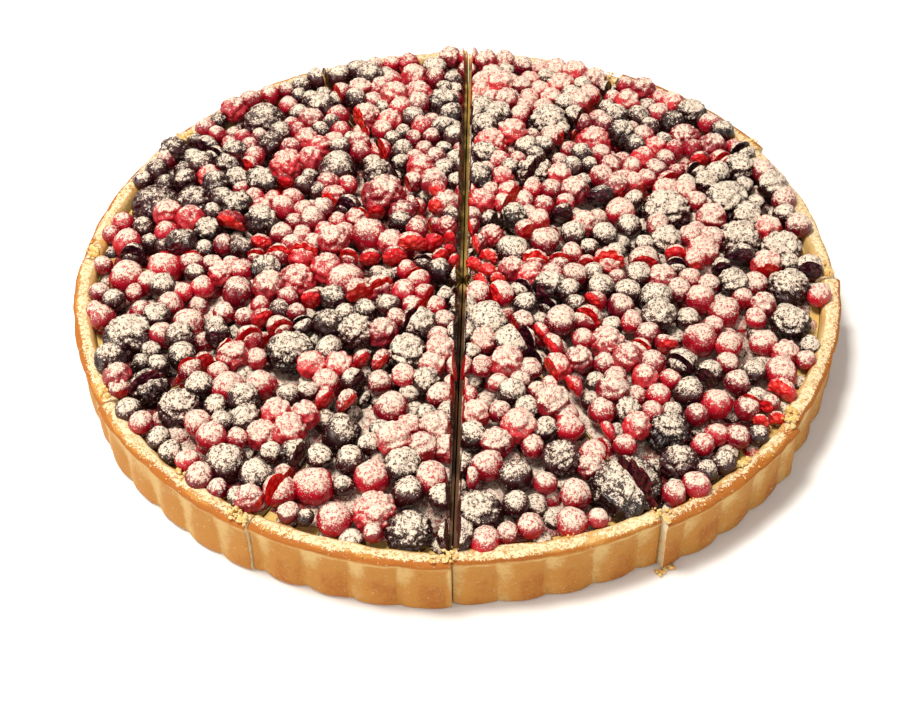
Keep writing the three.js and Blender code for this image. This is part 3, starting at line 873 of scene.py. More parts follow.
@dataclass(frozen=True)
class CreamFinish(Finish):
    """Custard cream stained by berry juice, with painted shade darkening it at the foot of the open cut,
    most in the front half.

    The open cut runs along the line x = slope * y + offset, with the offset in metres.
    """

    name: str = "custard_cream"
    cream: tuple[float, float, float] = (0.60, 0.40, 0.12)
    stain: tuple[float, float, float] = (0.35, 0.07, 0.03)
    gap_shade: tuple[float, float, float] = (0.34, 0.21, 0.045)
    deep_gap_shade: tuple[float, float, float] = (0.10, 0.042, 0.012)
    slope: float = 0.041
    offset: float = 0.0022
    half_width: tuple[float, float] = (1.8, 2.6)
    front: tuple[float, float] = (-60.0, 20.0)
    pools: float = 60.0
    ripples: float = 250.0
    shade_noise: float = 260.0
    relief: float = 0.8

    def wire(self, graph: Graph, shader: bpy.types.Node) -> None:
        """Adds the stains, and painted shade along the open cut."""
        at = graph.place()
        share = graph.step(graph.noise(at, self.pools, 4.0, 0.6), 0.5, 0.66, 0.0, 0.75)
        colour = graph.mix(share, self.cream, self.stain)
        x, y, _ = graph.add("SeparateXYZ", {0: at}).outputs
        off = graph.math("ABSOLUTE", graph.math("ADD", x, graph.scaled(y, -self.slope, -self.offset)))
        # Painted shade: the cream along the open cut is darkened as the deep gap would be in shade, darker
        # still towards the front.
        near = graph.step(off, *(limit * MM for limit in self.half_width), 1.0, 0.0)
        front = graph.step(y, *(limit * MM for limit in self.front), 1.0, 0.0)
        deep_share = graph.step(graph.math("ADD", front, graph.noise(at, self.shade_noise, 3.0)), 0.62, 1.1)
        colour = graph.mix(near, colour, graph.mix(deep_share, self.gap_shade, self.deep_gap_shade))
        graph.tree.links.new(colour, shader.inputs["Base Color"])
        shader.inputs["Roughness"].default_value = 0.55
        shader.inputs["Specular IOR Level"].default_value = 0.25
        graph.relief(shader, graph.noise(at, self.ripples, 3.0), self.relief, 0.8)
        self.soften(shader, 0.25, 3.0)


# ------------------------------------------------------------------ mesh helpers


def make_piece(mesh_maker: bmesh.types.BMesh, name: str, finishes: list[bpy.types.Material],
               nodes: list[str]) -> bpy.types.Object:
    """Turns a bmesh into a finished piece of the tart.

    Args:
        mesh_maker: The shape, in metres; it is freed.
        name: Name of the piece.
        finishes: Its materials, in slot order.
        nodes: CAD nodes that the piece stands for.

    Returns:
        The new object.
    """
    mesh = bpy.data.meshes.new(name)
    mesh_maker.to_mesh(mesh)
    mesh_maker.free()
    for finish in finishes:
        mesh.materials.append(finish)
    piece = bpy.data.objects.new(name, mesh)
    bpy.context.scene.collection.objects.link(piece)
    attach(piece, BODY)
    if nodes:
        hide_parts(*nodes)
    log.info("%s: %d faces", name, len(mesh.polygons))
    return piece


def cut_and_cap(shape: bmesh.types.BMesh, faces: list[tuple[Vector, Vector]], cap_index: int) -> None:
    """Cuts a closed shape by planes and closes each cut.

    Args:
        shape: The closed shape, in metres.
        faces: A point in mm and a normal for each plane; what lies along the normal goes.
        cap_index: Material index of the new faces.
    """
    for point, normal in faces:
        everything = shape.verts[:] + shape.edges[:] + shape.faces[:]
        cut = bmesh.ops.bisect_plane(shape, geom=everything, plane_co=point * MM, plane_no=normal,
                                     clear_outer=True, dist=1e-7)
        rim = [e for e in cut["geom_cut"] if isinstance(e, bmesh.types.BMEdge) and e.is_boundary]
        if not rim:
            continue
        caps = bmesh.ops.holes_fill(shape, edges=rim, sides=0)["faces"]
        for face in caps:
            face.material_index = cap_index
            face.smooth = False


def turned(section: list[tuple[float, float]], steps: int) -> bmesh.types.BMesh:
    """Turns a section once round +Z.

    Args:
        section: Distance from the axis and height of each point, in mm.
        steps: Facets round the axis.

    Returns:
        The closed shape, in metres.
    """
    shape = bmesh.new()
    points = [shape.verts.new((r * MM, 0, z * MM)) for r, z in section]
    edges = [shape.edges.new(pair) for pair in zip(points, points[1:])]
    bmesh.ops.spin(shape, geom=points + edges, cent=(0, 0, 0), axis=(0, 0, 1), angle=2 * math.pi,
                   steps=steps, use_merge=True)
    bmesh.ops.remove_doubles(shape, verts=shape.verts[:], dist=1e-6)
    return shape


def sliced(whole: bmesh.types.BMesh, gaps: tuple[float, float],
           slides: bool = True) -> Iterator[tuple[int, bmesh.types.BMesh]]:
    """Cuts a whole shape into the slices, and frees it.

    Args:
        whole: The closed shape, in metres.
        gaps: Width in mm of an ordinary cut and of the open one.
        slides: Whether each slice is first moved to where it has slid.

    Yields:
        The number of each slice, from 0, and its shape.
    """
    for index in range(SLICING.count()):
        shape = whole.copy()
        if slides:
            bmesh.ops.translate(shape, verts=shape.verts[:], vec=SLICING.slide(index) * MM)
        cut_and_cap(shape, SLICING.planes(index, *gaps), 1)
        yield index, shape
    whole.free()


def pour(shape: bmesh.types.BMesh, joined: bmesh.types.BMesh) -> None:
    """Adds a shape to a joined mesh, and frees it."""
    mesh = bpy.data.meshes.new("one")
    shape.to_mesh(mesh)
    shape.free()
    joined.from_mesh(mesh)
    bpy.data.meshes.remove(mesh)


def numbered(part: str, index: int) -> str:
    """Returns the name of a part of one slice, counted from 1."""
    return f"{part}_{index + 1:02d}"


# ------------------------------------------------------------------ pastry case


@dataclass
class PastryCase:
    """The fluted shortcrust case, in mm.

    A pair is where a change starts and where it is complete.
    """

    wall_r: float = 139.6
    foot_r: float = 140.0
    foot_z: float = 1.3
    wall_high: float = 17.9
    wall_steps: int = 7
    base: float = 4.0
    bowl_r: float = 132.0
    bowl_top_r: float = 133.6
    flutes: int = 56
    flute_depth: float = 1.5
    flute_phase: float = -92.0
    flute_power: float = 0.6
    flute_fade: tuple[float, float] = (15.0, 21.0)
    lip_share: float = 0.3
    steps: int = 560
    gaps: tuple[float, float] = (0.6, 0.3)
    # How uneven the hand left it: in broad waves, in fine ones, in height and at the inner edge.
    broad: float = 0.5
    fine: float = 0.35
    high: float = 0.8
    inner: float = 0.8
    # How browned it is: all over, on the lip's edge and top, on a flute's right side and on its left
    # side and groove (painted shade and painted light from the left), and how much less high on the
    # wall and at the left, where painted light makes it paler.
    bake_all: float = 0.12
    bake_edge: float = 1.2
    bake_top: float = 0.12
    bake_shaded_side: float = 0.66
    bake_lit_side: float = 0.20
    less_high: float = 0.3
    left_light: float = 0.22
    # How much more sugar lies on the rim than on the fruit, and at its left, and how bare the rest is.
    rim_sugar: float = 0.04
    left_sugar: float = 0.40
    bare: float = 0.6

    def profile(self) -> list[tuple[float, float]]:
        """Returns the section from the middle of the underside round to the middle of the bowl."""
        foot = [(self.foot_r - 1.2, 0.0), (self.foot_r - 0.3, 0.35), (self.foot_r, self.foot_z)]
        wall = []
        for k in range(1, self.wall_steps + 1):
            r = self.foot_r + (self.wall_r - self.foot_r) * k / self.wall_steps
            wall.append((r, self.foot_z + self.wall_high * k / self.wall_steps))
        lip = [(139.8, 20.4), (140.0, 21.0), (140.2, 21.7), (140.2, 22.4), (139.8, 23.0), (138.9, 23.5)]
        band = [(137.2, 23.7), (135.4, 23.5), (134.4, 23.0), (133.9, 22.3), (self.bowl_top_r, 21.3)]
        bowl = [(self.bowl_top_r - 0.4, 18.6), (132.8, 13.0), (132.3, 8.0), (self.bowl_r, self.base)]
        return [(0.0, 0.0), *foot, *wall, *lip, *band, *bowl, (0.0, self.base)]

    def flute(self, angle: float) -> float:
        """Returns how far the wall stands in at a direction, in radians."""
        phase = (angle - math.radians(self.flute_phase)) * self.flutes / 2
        return self.flute_depth * (1 - abs(math.sin(phase)) ** self.flute_power)

    def whole(self) -> bmesh.types.BMesh:
        """Returns the case uncut, with its flutes and an uneven handmade rim."""
        shape = turned(self.profile(), self.steps)
        for vert in shape.verts:
            self.press(vert)
        bmesh.ops.recalc_face_normals(shape, faces=shape.faces[:])
        return shape

    def press(self, vert: bmesh.types.BMVert) -> None:
        """Moves one point of the turned case in or out by the flutes and the hand's unevenness."""
        x, y, z = vert.co / MM
        r = math.hypot(x, y)
        if r < self.bowl_top_r - 4:
            return
        outside = shade(r, self.bowl_top_r + 1.5, self.wall_r - 1.0)
        share = 1 - (1 - self.lip_share) * shade(z, *self.flute_fade)
        broad = wave(x, y, 0, 0.045)
        fine = wave(x, y, z * 2.0, 0.22)
        inward = self.flute(math.atan2(y, x)) * share * outside
        inward += self.broad * broad * outside
        inward += self.fine * fine * outside
        r_new = r - max(inward, -0.2)
        r_new -= self.inner * wave(x, y, 4, 0.13) * shade(z, 20.5, 22) * (1 - outside)
        lift = (self.high * wave(x, y, 9, 0.06) + 0.5 * fine - 0.35) * shade(z, 19, 23.5)
        vert.co = Vector((x * r_new / r, y * r_new / r, z + lift)) * MM

    def dress(self, shape: bmesh.types.BMesh, dust: float) -> None:
        """Marks how browned and how sugared each point is, with painted light from the left in the browning.

        Args:
            shape: One slice of the case.
            dust: The slice's share of sugar.
        """
        bake = shape.verts.layers.float.new("bake")
        sugar = shape.verts.layers.float.new("dust")
        for vert in shape.verts:
            x, y, z = vert.co / MM
            r = math.hypot(x, y)
            lobe = (math.atan2(y, x) - math.radians(self.flute_phase)) * self.flutes / (2 * math.pi) % 1
            edge = math.exp(-(((z - 22.5) / 0.9) ** 2)) * shade(r, 137.6, 138.8)
            wall = shade(r, 136, 138) * (1 - shade(z, 19.0, 20.8))
            top = shade(z, 22.3, 23.1) * (1 - 0.7 * shade(r, 138.2, 139.3))
            # Painted light: this mask is 0 on a lobe's left side and by its groove, which stay pale as lit
            # from the left, and 1 on its right side, which browns as if in shade.
            flute = shade(lobe, 0.12, 0.5) * (1 - shade(lobe, 0.9, 1.0))
            body = self.bake_shaded_side * flute - self.less_high * shade(z, 9, 17)
            body += self.bake_lit_side * (1 - flute)
            # Painted light: the case's left side is paler, as lit from the left.
            body -= self.left_light * shade(-x, 45, 110)
            vert[bake] = self.bake_all + self.bake_edge * edge + self.bake_top * top + wall * body
            rim = dust + self.rim_sugar + self.left_sugar * shade(-x, 60, 110)
            vert[sugar] = rim * top - self.bare * (1 - top)

    def build(self) -> list[bpy.types.Object]:
        """Returns the twelve slices of the case."""
        finishes = [PastryFinish().build(), CrumbFinish().build()]
        pieces = []
        for index, shape in sliced(self.whole(), self.gaps):
            for face in shape.faces:
                face.smooth = face.material_index == 0
            self.dress(shape, SLICING.dust[index][1])
            nodes = [numbered("crust", index)]
            pieces.append(make_piece(shape, numbered("pastry", index), finishes, nodes))
        return pieces


# ------------------------------------------------------------------ cream


@dataclass
class CreamFilling:
    """The cream in the case, in mm."""

    under: float = 4.1
    top: float = 18.4
    foot_r: float = 131.9
    wall_r: float = 132.9
    edge_r: float = 133.0
    edge_step: float = 1.1
    edge_rise: float = 0.5
    inner_r: int = 120
    ring: int = 12
    gaps: tuple[float, float] = (0.7, 0.5)
    steps: int = 180
    ripple: float = 0.5

    def section(self) -> list[tuple[float, float]]:
        """Returns the section from the middle of its underside round to the middle of its top."""
        edge = []
        for k in range(4):
            edge.append((self.edge_r - self.edge_step * k, self.top + self.edge_rise * math.exp(-k / 1.5)))
        inner = [(r, self.top) for r in range(self.inner_r, -1, -self.ring)]
        return [(0, self.under), (self.foot_r, self.under), (self.wall_r, self.top - 1), *edge, *inner]

    def build(self) -> list[bpy.types.Object]:
        """Returns the cream of each slice."""
        # Painted shade: the cut faces take a darker copy of the cream, as the deep gaps would be in shade.
        cut = CreamFinish("shaded_cut_custard", (0.26, 0.16, 0.045), (0.12, 0.03, 0.012))
        finishes = [CreamFinish().build(), cut.build()]
        whole = turned(self.section(), self.steps)
        bmesh.ops.recalc_face_normals(whole, faces=whole.faces[:])
        for vert in whole.verts:
            if vert.co.z > (self.top - 0.5) * MM:
                vert.co.z += self.ripple * MM * noise.noise(vert.co * 90)
        pieces = []
        for index, shape in sliced(whole, self.gaps):
            nodes = [numbered("cream", index)]
            pieces.append(make_piece(shape, numbered("custard", index), finishes, nodes))
        return pieces


# ------------------------------------------------------------------ berries


@dataclass
class FruitMaker:
    """Adds berries of one kind to one mesh, whole or cut by the knife.

    Args:
        kind: The fruit.
        skin: Material of its skin.
        cut: Material of its cut faces.
    """

    kind: Kind
    skin: bpy.types.Material
    cut: bpy.types.Material
    beads: int = 110
    gaps: tuple[float, float] = (1.4, 3.0)
    whole_within: float = 26.0
    # Shares of a berry's radius: where a halved one is cut, how far its face bulges, the least
    # part that a cut leaves, and how far its bumps reach.
    halved_at: float = 0.15
    bulge: float = 0.22
    least: float = 0.62
    swell: float = 1.16
    # How much of a beaded berry's sugar follows its whole rounding, and not each bead's.
    even: float = 0.9
    pinch: float = 0.3
    # How uneven a smooth berry is, in lumps and in dents.
    lumps: float = 0.16
    dents: float = 0.09
    # A beaded berry: its width before the beads sink in, their depth, width and unevenness.
    beaded_r: float = 1.1
    bead_depth: float = 0.85
    bead_width: float = 1.04
    bead_uneven: float = 0.09
    beaded_floor: float = 0.45
    lean: float = 0.22
    aside: float = 0.6
    joined: bmesh.types.BMesh = field(default_factory=bmesh.new)

    def __post_init__(self) -> None:
        """Adds the layers that hold each berry's shade and sugar."""
        self.tint = self.joined.verts.layers.float.new("tint")
        self.dust = self.joined.verts.layers.float.new("dust")

    def turn(self, berry: Berry, size: int, tip: float) -> Matrix:
        """Returns how a berry is turned, by its shade, as a matrix of a size."""
        return Matrix.Rotation(berry.tint * 40.0, size, "Z") @ Matrix.Rotation(tip + berry.tint, size, "X")

    def body(self, berry: Berry) -> bmesh.types.BMesh:
        """Returns the closed shape of one whole berry, in metres."""
        shape = bmesh.new()
        if self.kind in BEADED:
            self.beaded(shape, berry)
        else:
            self.smooth(shape, berry)
        if berry.cut_way:
            across = Vector((-berry.y, berry.x, 0)).normalized()
            for vert in shape.verts:
                vert.co -= across * vert.co.dot(across) * self.pinch
        bmesh.ops.translate(shape, verts=shape.verts[:], vec=Vector((berry.x, berry.y, berry.z)) * MM)
        return shape

    def smooth(self, shape: bmesh.types.BMesh, berry: Berry) -> None:
        """Fills a shape with a currant, round but not quite even.

        Args:
            shape: Mesh to fill, about the origin.
            berry: The berry; one of the lower layer gets fewer faces.
        """
        bmesh.ops.create_cube(shape, size=2 * berry.r * MM)
        cuts = 2 if berry.lift == LOWER else 3
        bmesh.ops.subdivide_edges(shape, edges=shape.edges[:], cuts=cuts, use_grid_fill=True)
        turn = self.turn(berry, 4, 0.4)
        for vert in shape.verts:
            spread = Vector(math.tan(c / berry.r / MM * math.pi / 4) for c in vert.co)
            way = spread.normalized()
            lump = noise.noise(way * 0.9 + Vector((berry.x, berry.y, 0)))
            dent = noise.noise(way * 2.2 + Vector((berry.y, berry.x, 3)))
            vert.co = turn @ (way * berry.r * MM * (1 + self.lumps * lump + self.dents * dent))

    def beaded(self, shape: bmesh.types.BMesh, berry: Berry) -> None:
        """Fills a shape with a bramble or raspberry, all over small round beads.

        Args:
            shape: Mesh to fill, about the origin.
            berry: The berry.
        """
        count = self.beads if berry.fixed else self.beads // 2 + 10
        step = np.arange(count)
        height = 1 - 2 * (step + 0.5) / count
        angle = step * GOLDEN_ANGLE + 0.35 * np.sin(step * 12.9 + berry.x)
        ring = np.sqrt(1 - height**2)
        middles = np.stack([ring * np.cos(angle), ring * np.sin(angle), height], axis=1)
        bmesh.ops.create_icosphere(shape, subdivisions=5 if berry.fixed else 4, radius=1.0)
        ways = np.array([vert.co[:] for vert in shape.verts])
        nearest = np.arccos(np.clip(ways @ middles.T, -1, 1)).min(axis=1)
        width = self.bead_width * math.sqrt(4 / count)
        dome = np.sqrt(np.maximum(1 - (nearest / width) ** 2, 0))
        turn = self.turn(berry, 3, 0.5)
        bead = 2.0 / math.sqrt(count)
        for vert, rise in zip(shape.verts, dome):
            lump = noise.noise(vert.co * 0.9 + Vector((berry.x, berry.y, 0)))
            sunk = bead * self.bead_depth * (1 - rise)
            out = turn @ vert.co * (self.beaded_r - sunk + self.bead_uneven * lump)
            vert.co = Vector((out.x, out.y, out.z * berry.flat)) * berry.r * MM
        everything = shape.verts[:] + shape.edges[:] + shape.faces[:]
        floor = Vector((0, 0, -self.beaded_floor * berry.r * MM))
        bmesh.ops.bisect_plane(shape, geom=everything, plane_co=floor, plane_no=(0, 0, -1),
                               clear_outer=True, dist=1e-7)
        bmesh.ops.holes_fill(shape, edges=[e for e in shape.edges if e.is_boundary], sides=0)

    def add(self, berry: Berry) -> None:
        """Adds a berry, sliced where a cut crosses it."""
        middle = Vector((berry.x, berry.y, berry.z))
        if berry.cut_way:
            self.join(self.halved(berry, middle), berry)
            return
        if berry.fixed and middle.xy.length < self.whole_within:
            self.join(self.body(berry), berry)
            return
        home = SLICING.slice_of(berry.x, berry.y)
        for index in (home - 1, home, home + 1):
            planes = SLICING.planes(index % SLICING.count(), *self.gaps)
            room = [(point - middle).dot(out) for point, out in planes]
            if min(room) < -self.least * berry.r:
                continue
            shape = self.body(berry)
            crossed = [plane for plane, clear in zip(planes, room) if clear < berry.r * self.swell]
            if crossed:
                self.slice(shape, berry, crossed)
            self.join(shape, berry)

    def halved(self, berry: Berry, middle: Vector) -> bmesh.types.BMesh:
        """Returns a berry cut through near its middle, with a face that bulges a little."""
        shape = self.body(berry)
        cut_and_cap(shape, [(middle + berry.cut_way * self.halved_at * berry.r, berry.cut_way)], 1)
        caps = [face for face in shape.faces if face.material_index == 1]
        bmesh.ops.poke(shape, faces=caps, offset=self.bulge * berry.r * MM)
        return shape

    def slice(self, shape: bmesh.types.BMesh, berry: Berry, planes: list[tuple[Vector, Vector]]) -> None:
        """Cuts a berry by the given planes, each leant back a little as the knife dragged it."""
        lean = self.lean * ((berry.tint * 7.3) % 1)
        faces = []
        for point, out in planes:
            tilted = Vector((out.x, out.y, math.tan(lean))).normalized()
            low = Vector((point.x, point.y, berry.z))
            faces.append((low - out * self.aside * ((berry.tint * 11.7) % 1), tilted))
        cut_and_cap(shape, faces, 1)

    def join(self, shape: bmesh.types.BMesh, berry: Berry) -> None:
        """Joins one finished shape to the mesh of its kind and frees it."""
        if not shape.faces:
            shape.free()
            return
        for face in shape.faces:
            face.smooth = face.material_index == 0 or berry.cut_way is not None
        tint = shape.verts.layers.float.new("tint")
        dust = shape.verts.layers.float.new("dust")
        middle = Vector((berry.x, berry.y, berry.z)) * MM
        share = self.even if self.kind in BEADED else 0
        shape.normal_update()
        for vert in shape.verts:
            crown = (vert.co - middle).normalized().z
            vert[tint], vert[dust] = berry.tint, berry.dust + share * (crown - vert.normal.z)
        pour(shape, self.joined)

    def finish(self, nodes: list[str]) -> bpy.types.Object:
        """Returns the joined piece.

        Args:
            nodes: CAD nodes that it stands for.
        """
        return make_piece(self.joined, self.kind.value, [self.skin, self.cut], nodes)


SKINS = {
    Kind.CURRANT: BerryFinish("red_currant_skin", (0.13, 0.002, 0.009), (0.51, 0.007, 0.022), 0.2, 0.25,
                              film=0.40, veil=(0.58, 0.19, 0.18), cover=0.84),
    Kind.BLACKCURRANT: BerryFinish("blackcurrant_skin", (0.012, 0.0025, 0.003), (0.046, 0.006, 0.007),
                                   0.27, 0.04, film=0.16, veil=(0.46, 0.25, 0.20), cover=0.88),
    Kind.RASPBERRY: BerryFinish("raspberry_skin", (0.20, 0.004, 0.012), (0.60, 0.020, 0.030), 0.28, 0.25,
                                film=0.40, veil=(0.59, 0.205, 0.19), cover=0.84),
    Kind.BRAMBLE: BerryFinish("bramble_skin", (0.010, 0.0022, 0.0025), (0.040, 0.005, 0.006),
                              0.24, 0.04, film=0.14, veil=(0.46, 0.25, 0.20), cover=0.84),
}
CUTS = {
    Kind.CURRANT: CutFinish("red_currant_cut", (0.54, 0.004, 0.010), (0.93, 0.040, 0.034)),
    Kind.BLACKCURRANT: CutFinish("blackcurrant_cut", (0.02, 0.003, 0.008), (0.09, 0.008, 0.016)),
    Kind.RASPBERRY: CutFinish("raspberry_cut", (0.60, 0.007, 0.010), (0.95, 0.080, 0.050)),
    Kind.BRAMBLE: CutFinish("bramble_cut", (0.05, 0.005, 0.012), (0.17, 0.015, 0.024)),
}


@dataclass
class PackedFruit:
    """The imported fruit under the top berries, in mm."""

    radius: float = 129.4
    facets: int = 180
    rings: int = 30
    ring: float = 4.0
    foot: float = 18.5
    edge_top: float = 18.9
    above_bed: float = 3.1
    edge: tuple[float, float] = (118.0, 129.4)
    broad: float = 2.0
    fine: float = 1.0
    gaps: tuple[float, float] = (1.4, 2.6)
    # Its sugar: how much more than its slice, how patchy, and how much less at the edge.
    more: float = 0.10
    patchy: float = 0.5
    edge_less: float = 0.35
    bare_edge: tuple[float, float] = (112.0, 126.0)

    def surface(self, x: float, y: float) -> float:
        """Returns the height of its top at a place."""
        distance = math.hypot(x, y)
        swell = wave(x, y, 0, 0.11) * self.broad + wave(x, y, 7, 0.3) * self.fine
        edge = shade(distance, *self.edge)
        return (LAYOUT.bed(distance) + self.above_bed + swell) * (1 - edge) + self.edge_top * edge

    def whole(self) -> bmesh.types.BMesh:
        """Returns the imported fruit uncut, as a disc with an uneven top."""
        shape = bmesh.new()
        bmesh.ops.create_circle(shape, cap_ends=True, segments=self.facets, radius=self.radius * MM)
        floor = shape.faces[:]
        bmesh.ops.reverse_faces(shape, faces=floor)
        top = bmesh.ops.extrude_face_region(shape, geom=floor, use_keep_orig=True)
        lid = [face for face in top["geom"] if isinstance(face, bmesh.types.BMFace)]
        bmesh.ops.recalc_face_normals(shape, faces=shape.faces[:])
        for _ in range(self.rings):
            bmesh.ops.inset_region(shape, faces=lid, thickness=self.ring * MM, use_even_offset=False)
        bmesh.ops.translate(shape, verts=shape.verts[:], vec=(0, 0, self.foot * MM))
        for vert in {v for face in shape.faces if face.normal.z > 0.5 for v in face.verts}:
            vert.co.z = self.surface(vert.co.x / MM, vert.co.y / MM) * MM
        return shape

    def sugar(self, x: float, y: float) -> float:
        """Returns its share of sugar at a place."""
        share = SLICING.blend(SLICING.dust, x, y) + self.more + self.patchy * wave(x, y, 5, 0.05)
        return share - self.edge_less * shade(math.hypot(x, y), *self.bare_edge)

    def build(self) -> bpy.types.Object:
        """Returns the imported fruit, cut as the slices are."""
        skin = BerryFinish("packed_fruit_skin", (0.10, 0.005, 0.008), (0.34, 0.018, 0.020), 0.5, 0.1,
                           film=0.4, veil=(0.62, 0.34, 0.28), cover=0.86)
        cut = CutFinish("packed_fruit_cut", (0.05, 0.010, 0.006), (0.13, 0.03, 0.014), 0.8)
        joined = bmesh.new()
        tint = joined.verts.layers.float.new("tint")
        dust = joined.verts.layers.float.new("dust")
        for _, shape in sliced(self.whole(), self.gaps, slides=False):
            pour(shape, joined)
        for vert in joined.verts:
            vert[tint], vert[dust] = 0.5, self.sugar(vert.co.x / MM, vert.co.y / MM)
        for face in joined.faces:
            face.smooth = face.material_index == 0
        nodes = [numbered("berries", index) for index in range(SLICING.count())]
        return make_piece(joined, "packed_fruit", [skin.build(), cut.build()], nodes)


class BerryHeap:
    """All the fruit on the cream."""

    def build(self) -> list[bpy.types.Object]:
        """Returns the heap's pieces, one for each kind of fruit and the core."""
        berries = LAYOUT.all()
        pieces = [PackedFruit().build()]
        bramble_nodes = [name for name in sorted(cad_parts) if name.startswith("bramble")]
        for kind in Kind:
            maker = FruitMaker(kind, SKINS[kind].build(), CUTS[kind].build())
            for berry in berries:
                if berry.kind is kind:
                    maker.add(berry)
            pieces.append(maker.finish(bramble_nodes if kind is Kind.BRAMBLE else []))
        log.info("berries laid: %d", len(berries))
        return pieces


# ------------------------------------------------------------------ crumbs


@dataclass
class Crumbs:
    """Crumbs of pastry where the knife came through the rim, in mm.

    A pair is the least and the most of a size or a distance.
    """

    seed: int = 4211
    rim: float = 23.4
    fine_below: float = 1.1
    # At every cut.
    at_cut: int = 26
    cut_aside: float = 4.5
    cut_band: tuple[float, float] = (134.0, 139.6)
    cut_sizes: tuple[float, float] = (0.35, 1.5)
    # All round the rim.
    loose: int = 260
    loose_band: tuple[float, float] = (134.5, 139.5)
    loose_sizes: tuple[float, float] = (0.25, 0.8)
    # At the foot of one cut, with its direction in degrees.
    at_foot: int = 14
    foot_way: float = 297.0
    foot_span: tuple[float, float] = (-1.2, 1.8)
    foot_r: float = 140.6
    foot_reach: float = 2.4
    foot_sizes: tuple[float, float] = (0.6, 2.2)
    # Heaps: direction in degrees, distance, spread and number.
    patch_sizes: tuple[float, float] = (0.6, 2.3)
    patches: tuple[tuple[float, float, float, int], ...] = (
        (117.5, 134.2, 3.2, 14), (143.5, 134.4, 3.0, 12), (176.5, 135.5, 2.6, 12), (207.6, 137.0, 3.4, 16),
        (239.4, 136.8, 3.0, 22), (268.0, 137.2, 2.2, 16), (297.0, 137.2, 2.4, 10), (323.6, 136.6, 4.2, 26),
        (356.7, 137.0, 2.6, 10), (62.0, 136.0, 3.0, 8), (228.0, 134.6, 2.0, 6), (312.0, 134.4, 2.4, 6),
    )

    def crumb(self, shape: bmesh.types.BMesh, place: Vector, size: float, draw: Draw) -> None:
        """Adds one crumb.

        Args:
            shape: Mesh to fill, in metres.
            place: Its middle, in mm.
            size: Its width, in mm.
            draw: Random sequence.
        """
        detail = 1 if size < self.fine_below else 2
        made = bmesh.ops.create_icosphere(shape, subdivisions=detail, radius=1.0)["verts"]
        turn = Matrix.Rotation(draw.span(0, 6.3), 3, "Z") @ Matrix.Rotation(draw.span(0, 3.1), 3, "X")
        stretch = Vector((draw.span(0.7, 1.2), draw.span(0.7, 1.1), draw.span(0.5, 0.9)))
        for vert in made:
            bump = 1 + 0.7 * noise.noise(vert.co * 1.7 + place)
            out = turn @ Vector(a * b for a, b in zip(vert.co * bump, stretch))
            vert.co = (place + out * size / 2) * MM

    def build(self) -> bpy.types.Object:
        """Returns all the crumbs as one piece."""
        draw = Draw(self.seed)
        shape = bmesh.new()
        for cut in SLICING.cuts:
            for _ in range(self.at_cut):
                aside = draw.span(-1, 1) ** 3 * self.cut_aside
                self.lay(shape, cut, draw.span(*self.cut_band), aside, draw.span(*self.cut_sizes), draw)
        for degrees, distance, spread, count in self.patches:
            for _ in range(count):
                size = draw.span(*self.patch_sizes)
                self.lay(shape, degrees, distance + draw.span(-1, 1) * spread * 0.5,
                         draw.span(-1, 1) * spread, size, draw)
        for _ in range(self.loose):
            degrees, distance = draw.span(0, 360), draw.span(*self.loose_band)
            self.lay(shape, degrees, distance, 0, draw.span(*self.loose_sizes), draw)
        for _ in range(self.at_foot):
            way = math.radians(self.foot_way + draw.span(*self.foot_span))
            size = draw.span(*self.foot_sizes)
            spot = Vector((math.cos(way), math.sin(way), 0)) * (self.foot_r + draw.span(0, self.foot_reach))
            self.crumb(shape, spot + Vector((0, 0, size * 0.3)), size, draw)
        finish = CrumbFinish("loose_crumb", (0.84, 0.62, 0.28), (0.78, 0.40, 0.07))
        return make_piece(shape, "pastry_crumbs", [finish.build()], [])

    def lay(self, shape: bmesh.types.BMesh, degrees: float, distance: float, aside: float, size: float,
            draw: Draw) -> None:
        """Lays a crumb on the rim.

        Args:
            shape: Mesh to fill.
            degrees: Direction seen from the middle of the tart.
            distance: Distance from there.
            aside: How far to the side it lies.
            size: Its width.
            draw: Random sequence.
        """
        way = math.radians(degrees)
        x = distance * math.cos(way) - aside * math.sin(way)
        y = distance * math.sin(way) + aside * math.cos(way)
        shift = SLICING.slide(SLICING.slice_of(x, y))
        self.crumb(shape, Vector((x, y, self.rim + 0.25 * size)) + shift, size, draw)


# ------------------------------------------------------------------ room


# Name, place and width in metres, power in watts, and colour.
Lamp = tuple[str, tuple[float, float, float], float, float, tuple[float, float, float]]


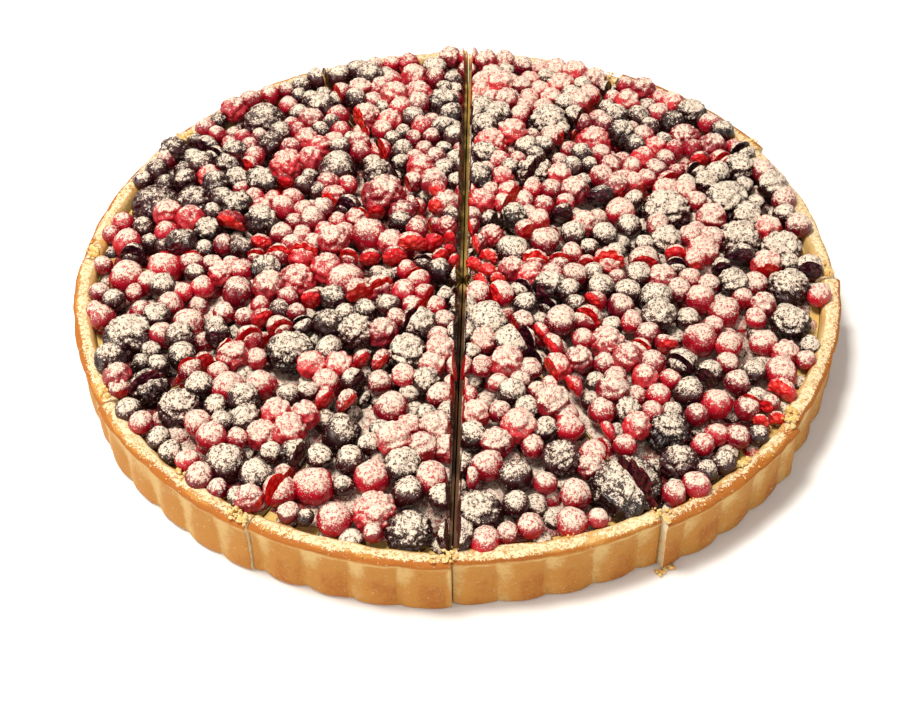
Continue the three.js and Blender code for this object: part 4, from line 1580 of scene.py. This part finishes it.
@dataclass
class Studio:
    """Floor, soft light and camera.

    The camera's target and distance are in mm, its lens and sensor too, its angles in degrees. The
    floor is in metres.
    """

    target: tuple[float, float, float] = (-3.32, -25.14, 0.0)
    distance: float = 571.459
    elevation: float = 44.775
    roll: float = -1.102
    lens: float = 61.82
    sensor: float = 36.0
    floor_size: float = 3.0
    floor_z: float = -0.0002
    floor_colour: tuple[float, float, float, float] = (0.88, 0.87, 0.86, 1)
    lamps: tuple[Lamp, ...] = (
        ("key", (-0.25, 0.0, 1.0), 0.28, 14, (1.0, 0.96, 0.89)),
        ("fill", (0.3, -0.9, 0.5), 0.8, 3, (1.0, 0.96, 0.9)),
        ("side", (-1.0, -0.5, 0.45), 0.5, 4.5, (1.0, 0.95, 0.88)),
    )
    air: tuple[float, float, float, float] = (1.0, 0.98, 0.96, 1)
    air_strength: float = 0.34

    def floor(self) -> None:
        """Makes the pale floor."""
        shape = bmesh.new()
        bmesh.ops.create_grid(shape, x_segments=1, y_segments=1, size=self.floor_size)
        bmesh.ops.translate(shape, verts=shape.verts[:], vec=(0, 0, self.floor_z))
        mesh = bpy.data.meshes.new("floor")
        shape.to_mesh(mesh)
        shape.free()
        material = bpy.data.materials.new("pale_floor")
        material.use_nodes = True
        shader = material.node_tree.nodes["Principled BSDF"]
        shader.inputs["Base Color"].default_value = self.floor_colour
        shader.inputs["Roughness"].default_value = 0.9
        mesh.materials.append(material)
        floor = bpy.data.objects.new("floor", mesh)
        bpy.context.scene.collection.objects.link(floor)

    def lamp(self, name: str, place: tuple[float, float, float], size: float, power: float,
             colour: tuple[float, float, float]) -> None:
        """Adds a square soft light aimed at the tart."""
        light = bpy.data.lights.new(name, "AREA")
        light.size, light.energy, light.color = size, power, colour
        lamp = bpy.data.objects.new(name, light)
        lamp.location = place
        lamp.rotation_euler = (Vector((0, 0, 0)) - Vector(place)).to_track_quat("-Z", "Y").to_euler()
        bpy.context.scene.collection.objects.link(lamp)

    def camera(self) -> None:
        """Places the camera above the front edge."""
        rise = math.radians(self.elevation)
        target = Vector(self.target) * MM
        away = Vector((0, -math.cos(rise), math.sin(rise))) * self.distance * MM
        data = bpy.data.cameras.new("camera")
        data.lens = self.lens
        data.sensor_width = self.sensor
        camera = bpy.data.objects.new("camera", data)
        turn = (-away).to_track_quat("-Z", "Y").to_matrix().to_4x4()
        roll = Matrix.Rotation(math.radians(self.roll), 4, "Z")
        camera.matrix_world = Matrix.Translation(target + away) @ turn @ roll
        bpy.context.scene.collection.objects.link(camera)
        bpy.context.scene.camera = camera

    def build(self) -> None:
        """Sets up the room."""
        self.floor()
        for lamp in self.lamps:
            self.lamp(*lamp)
        world = bpy.data.worlds.new("room")
        bpy.context.scene.world = world
        world.use_nodes = True
        sky = world.node_tree.nodes["Background"]
        sky.inputs["Color"].default_value = self.air
        sky.inputs["Strength"].default_value = self.air_strength
        bpy.context.scene.view_settings.view_transform = "Standard"
        self.camera()


def main() -> None:
    """Builds the tart and the room around it."""
    logging.basicConfig(level=logging.INFO, format="%(name)s %(message)s")
    PastryCase().build()
    CreamFilling().build()
    BerryHeap().build()
    Crumbs().build()
    Studio().build()


if __name__ == "__main__":
    main()
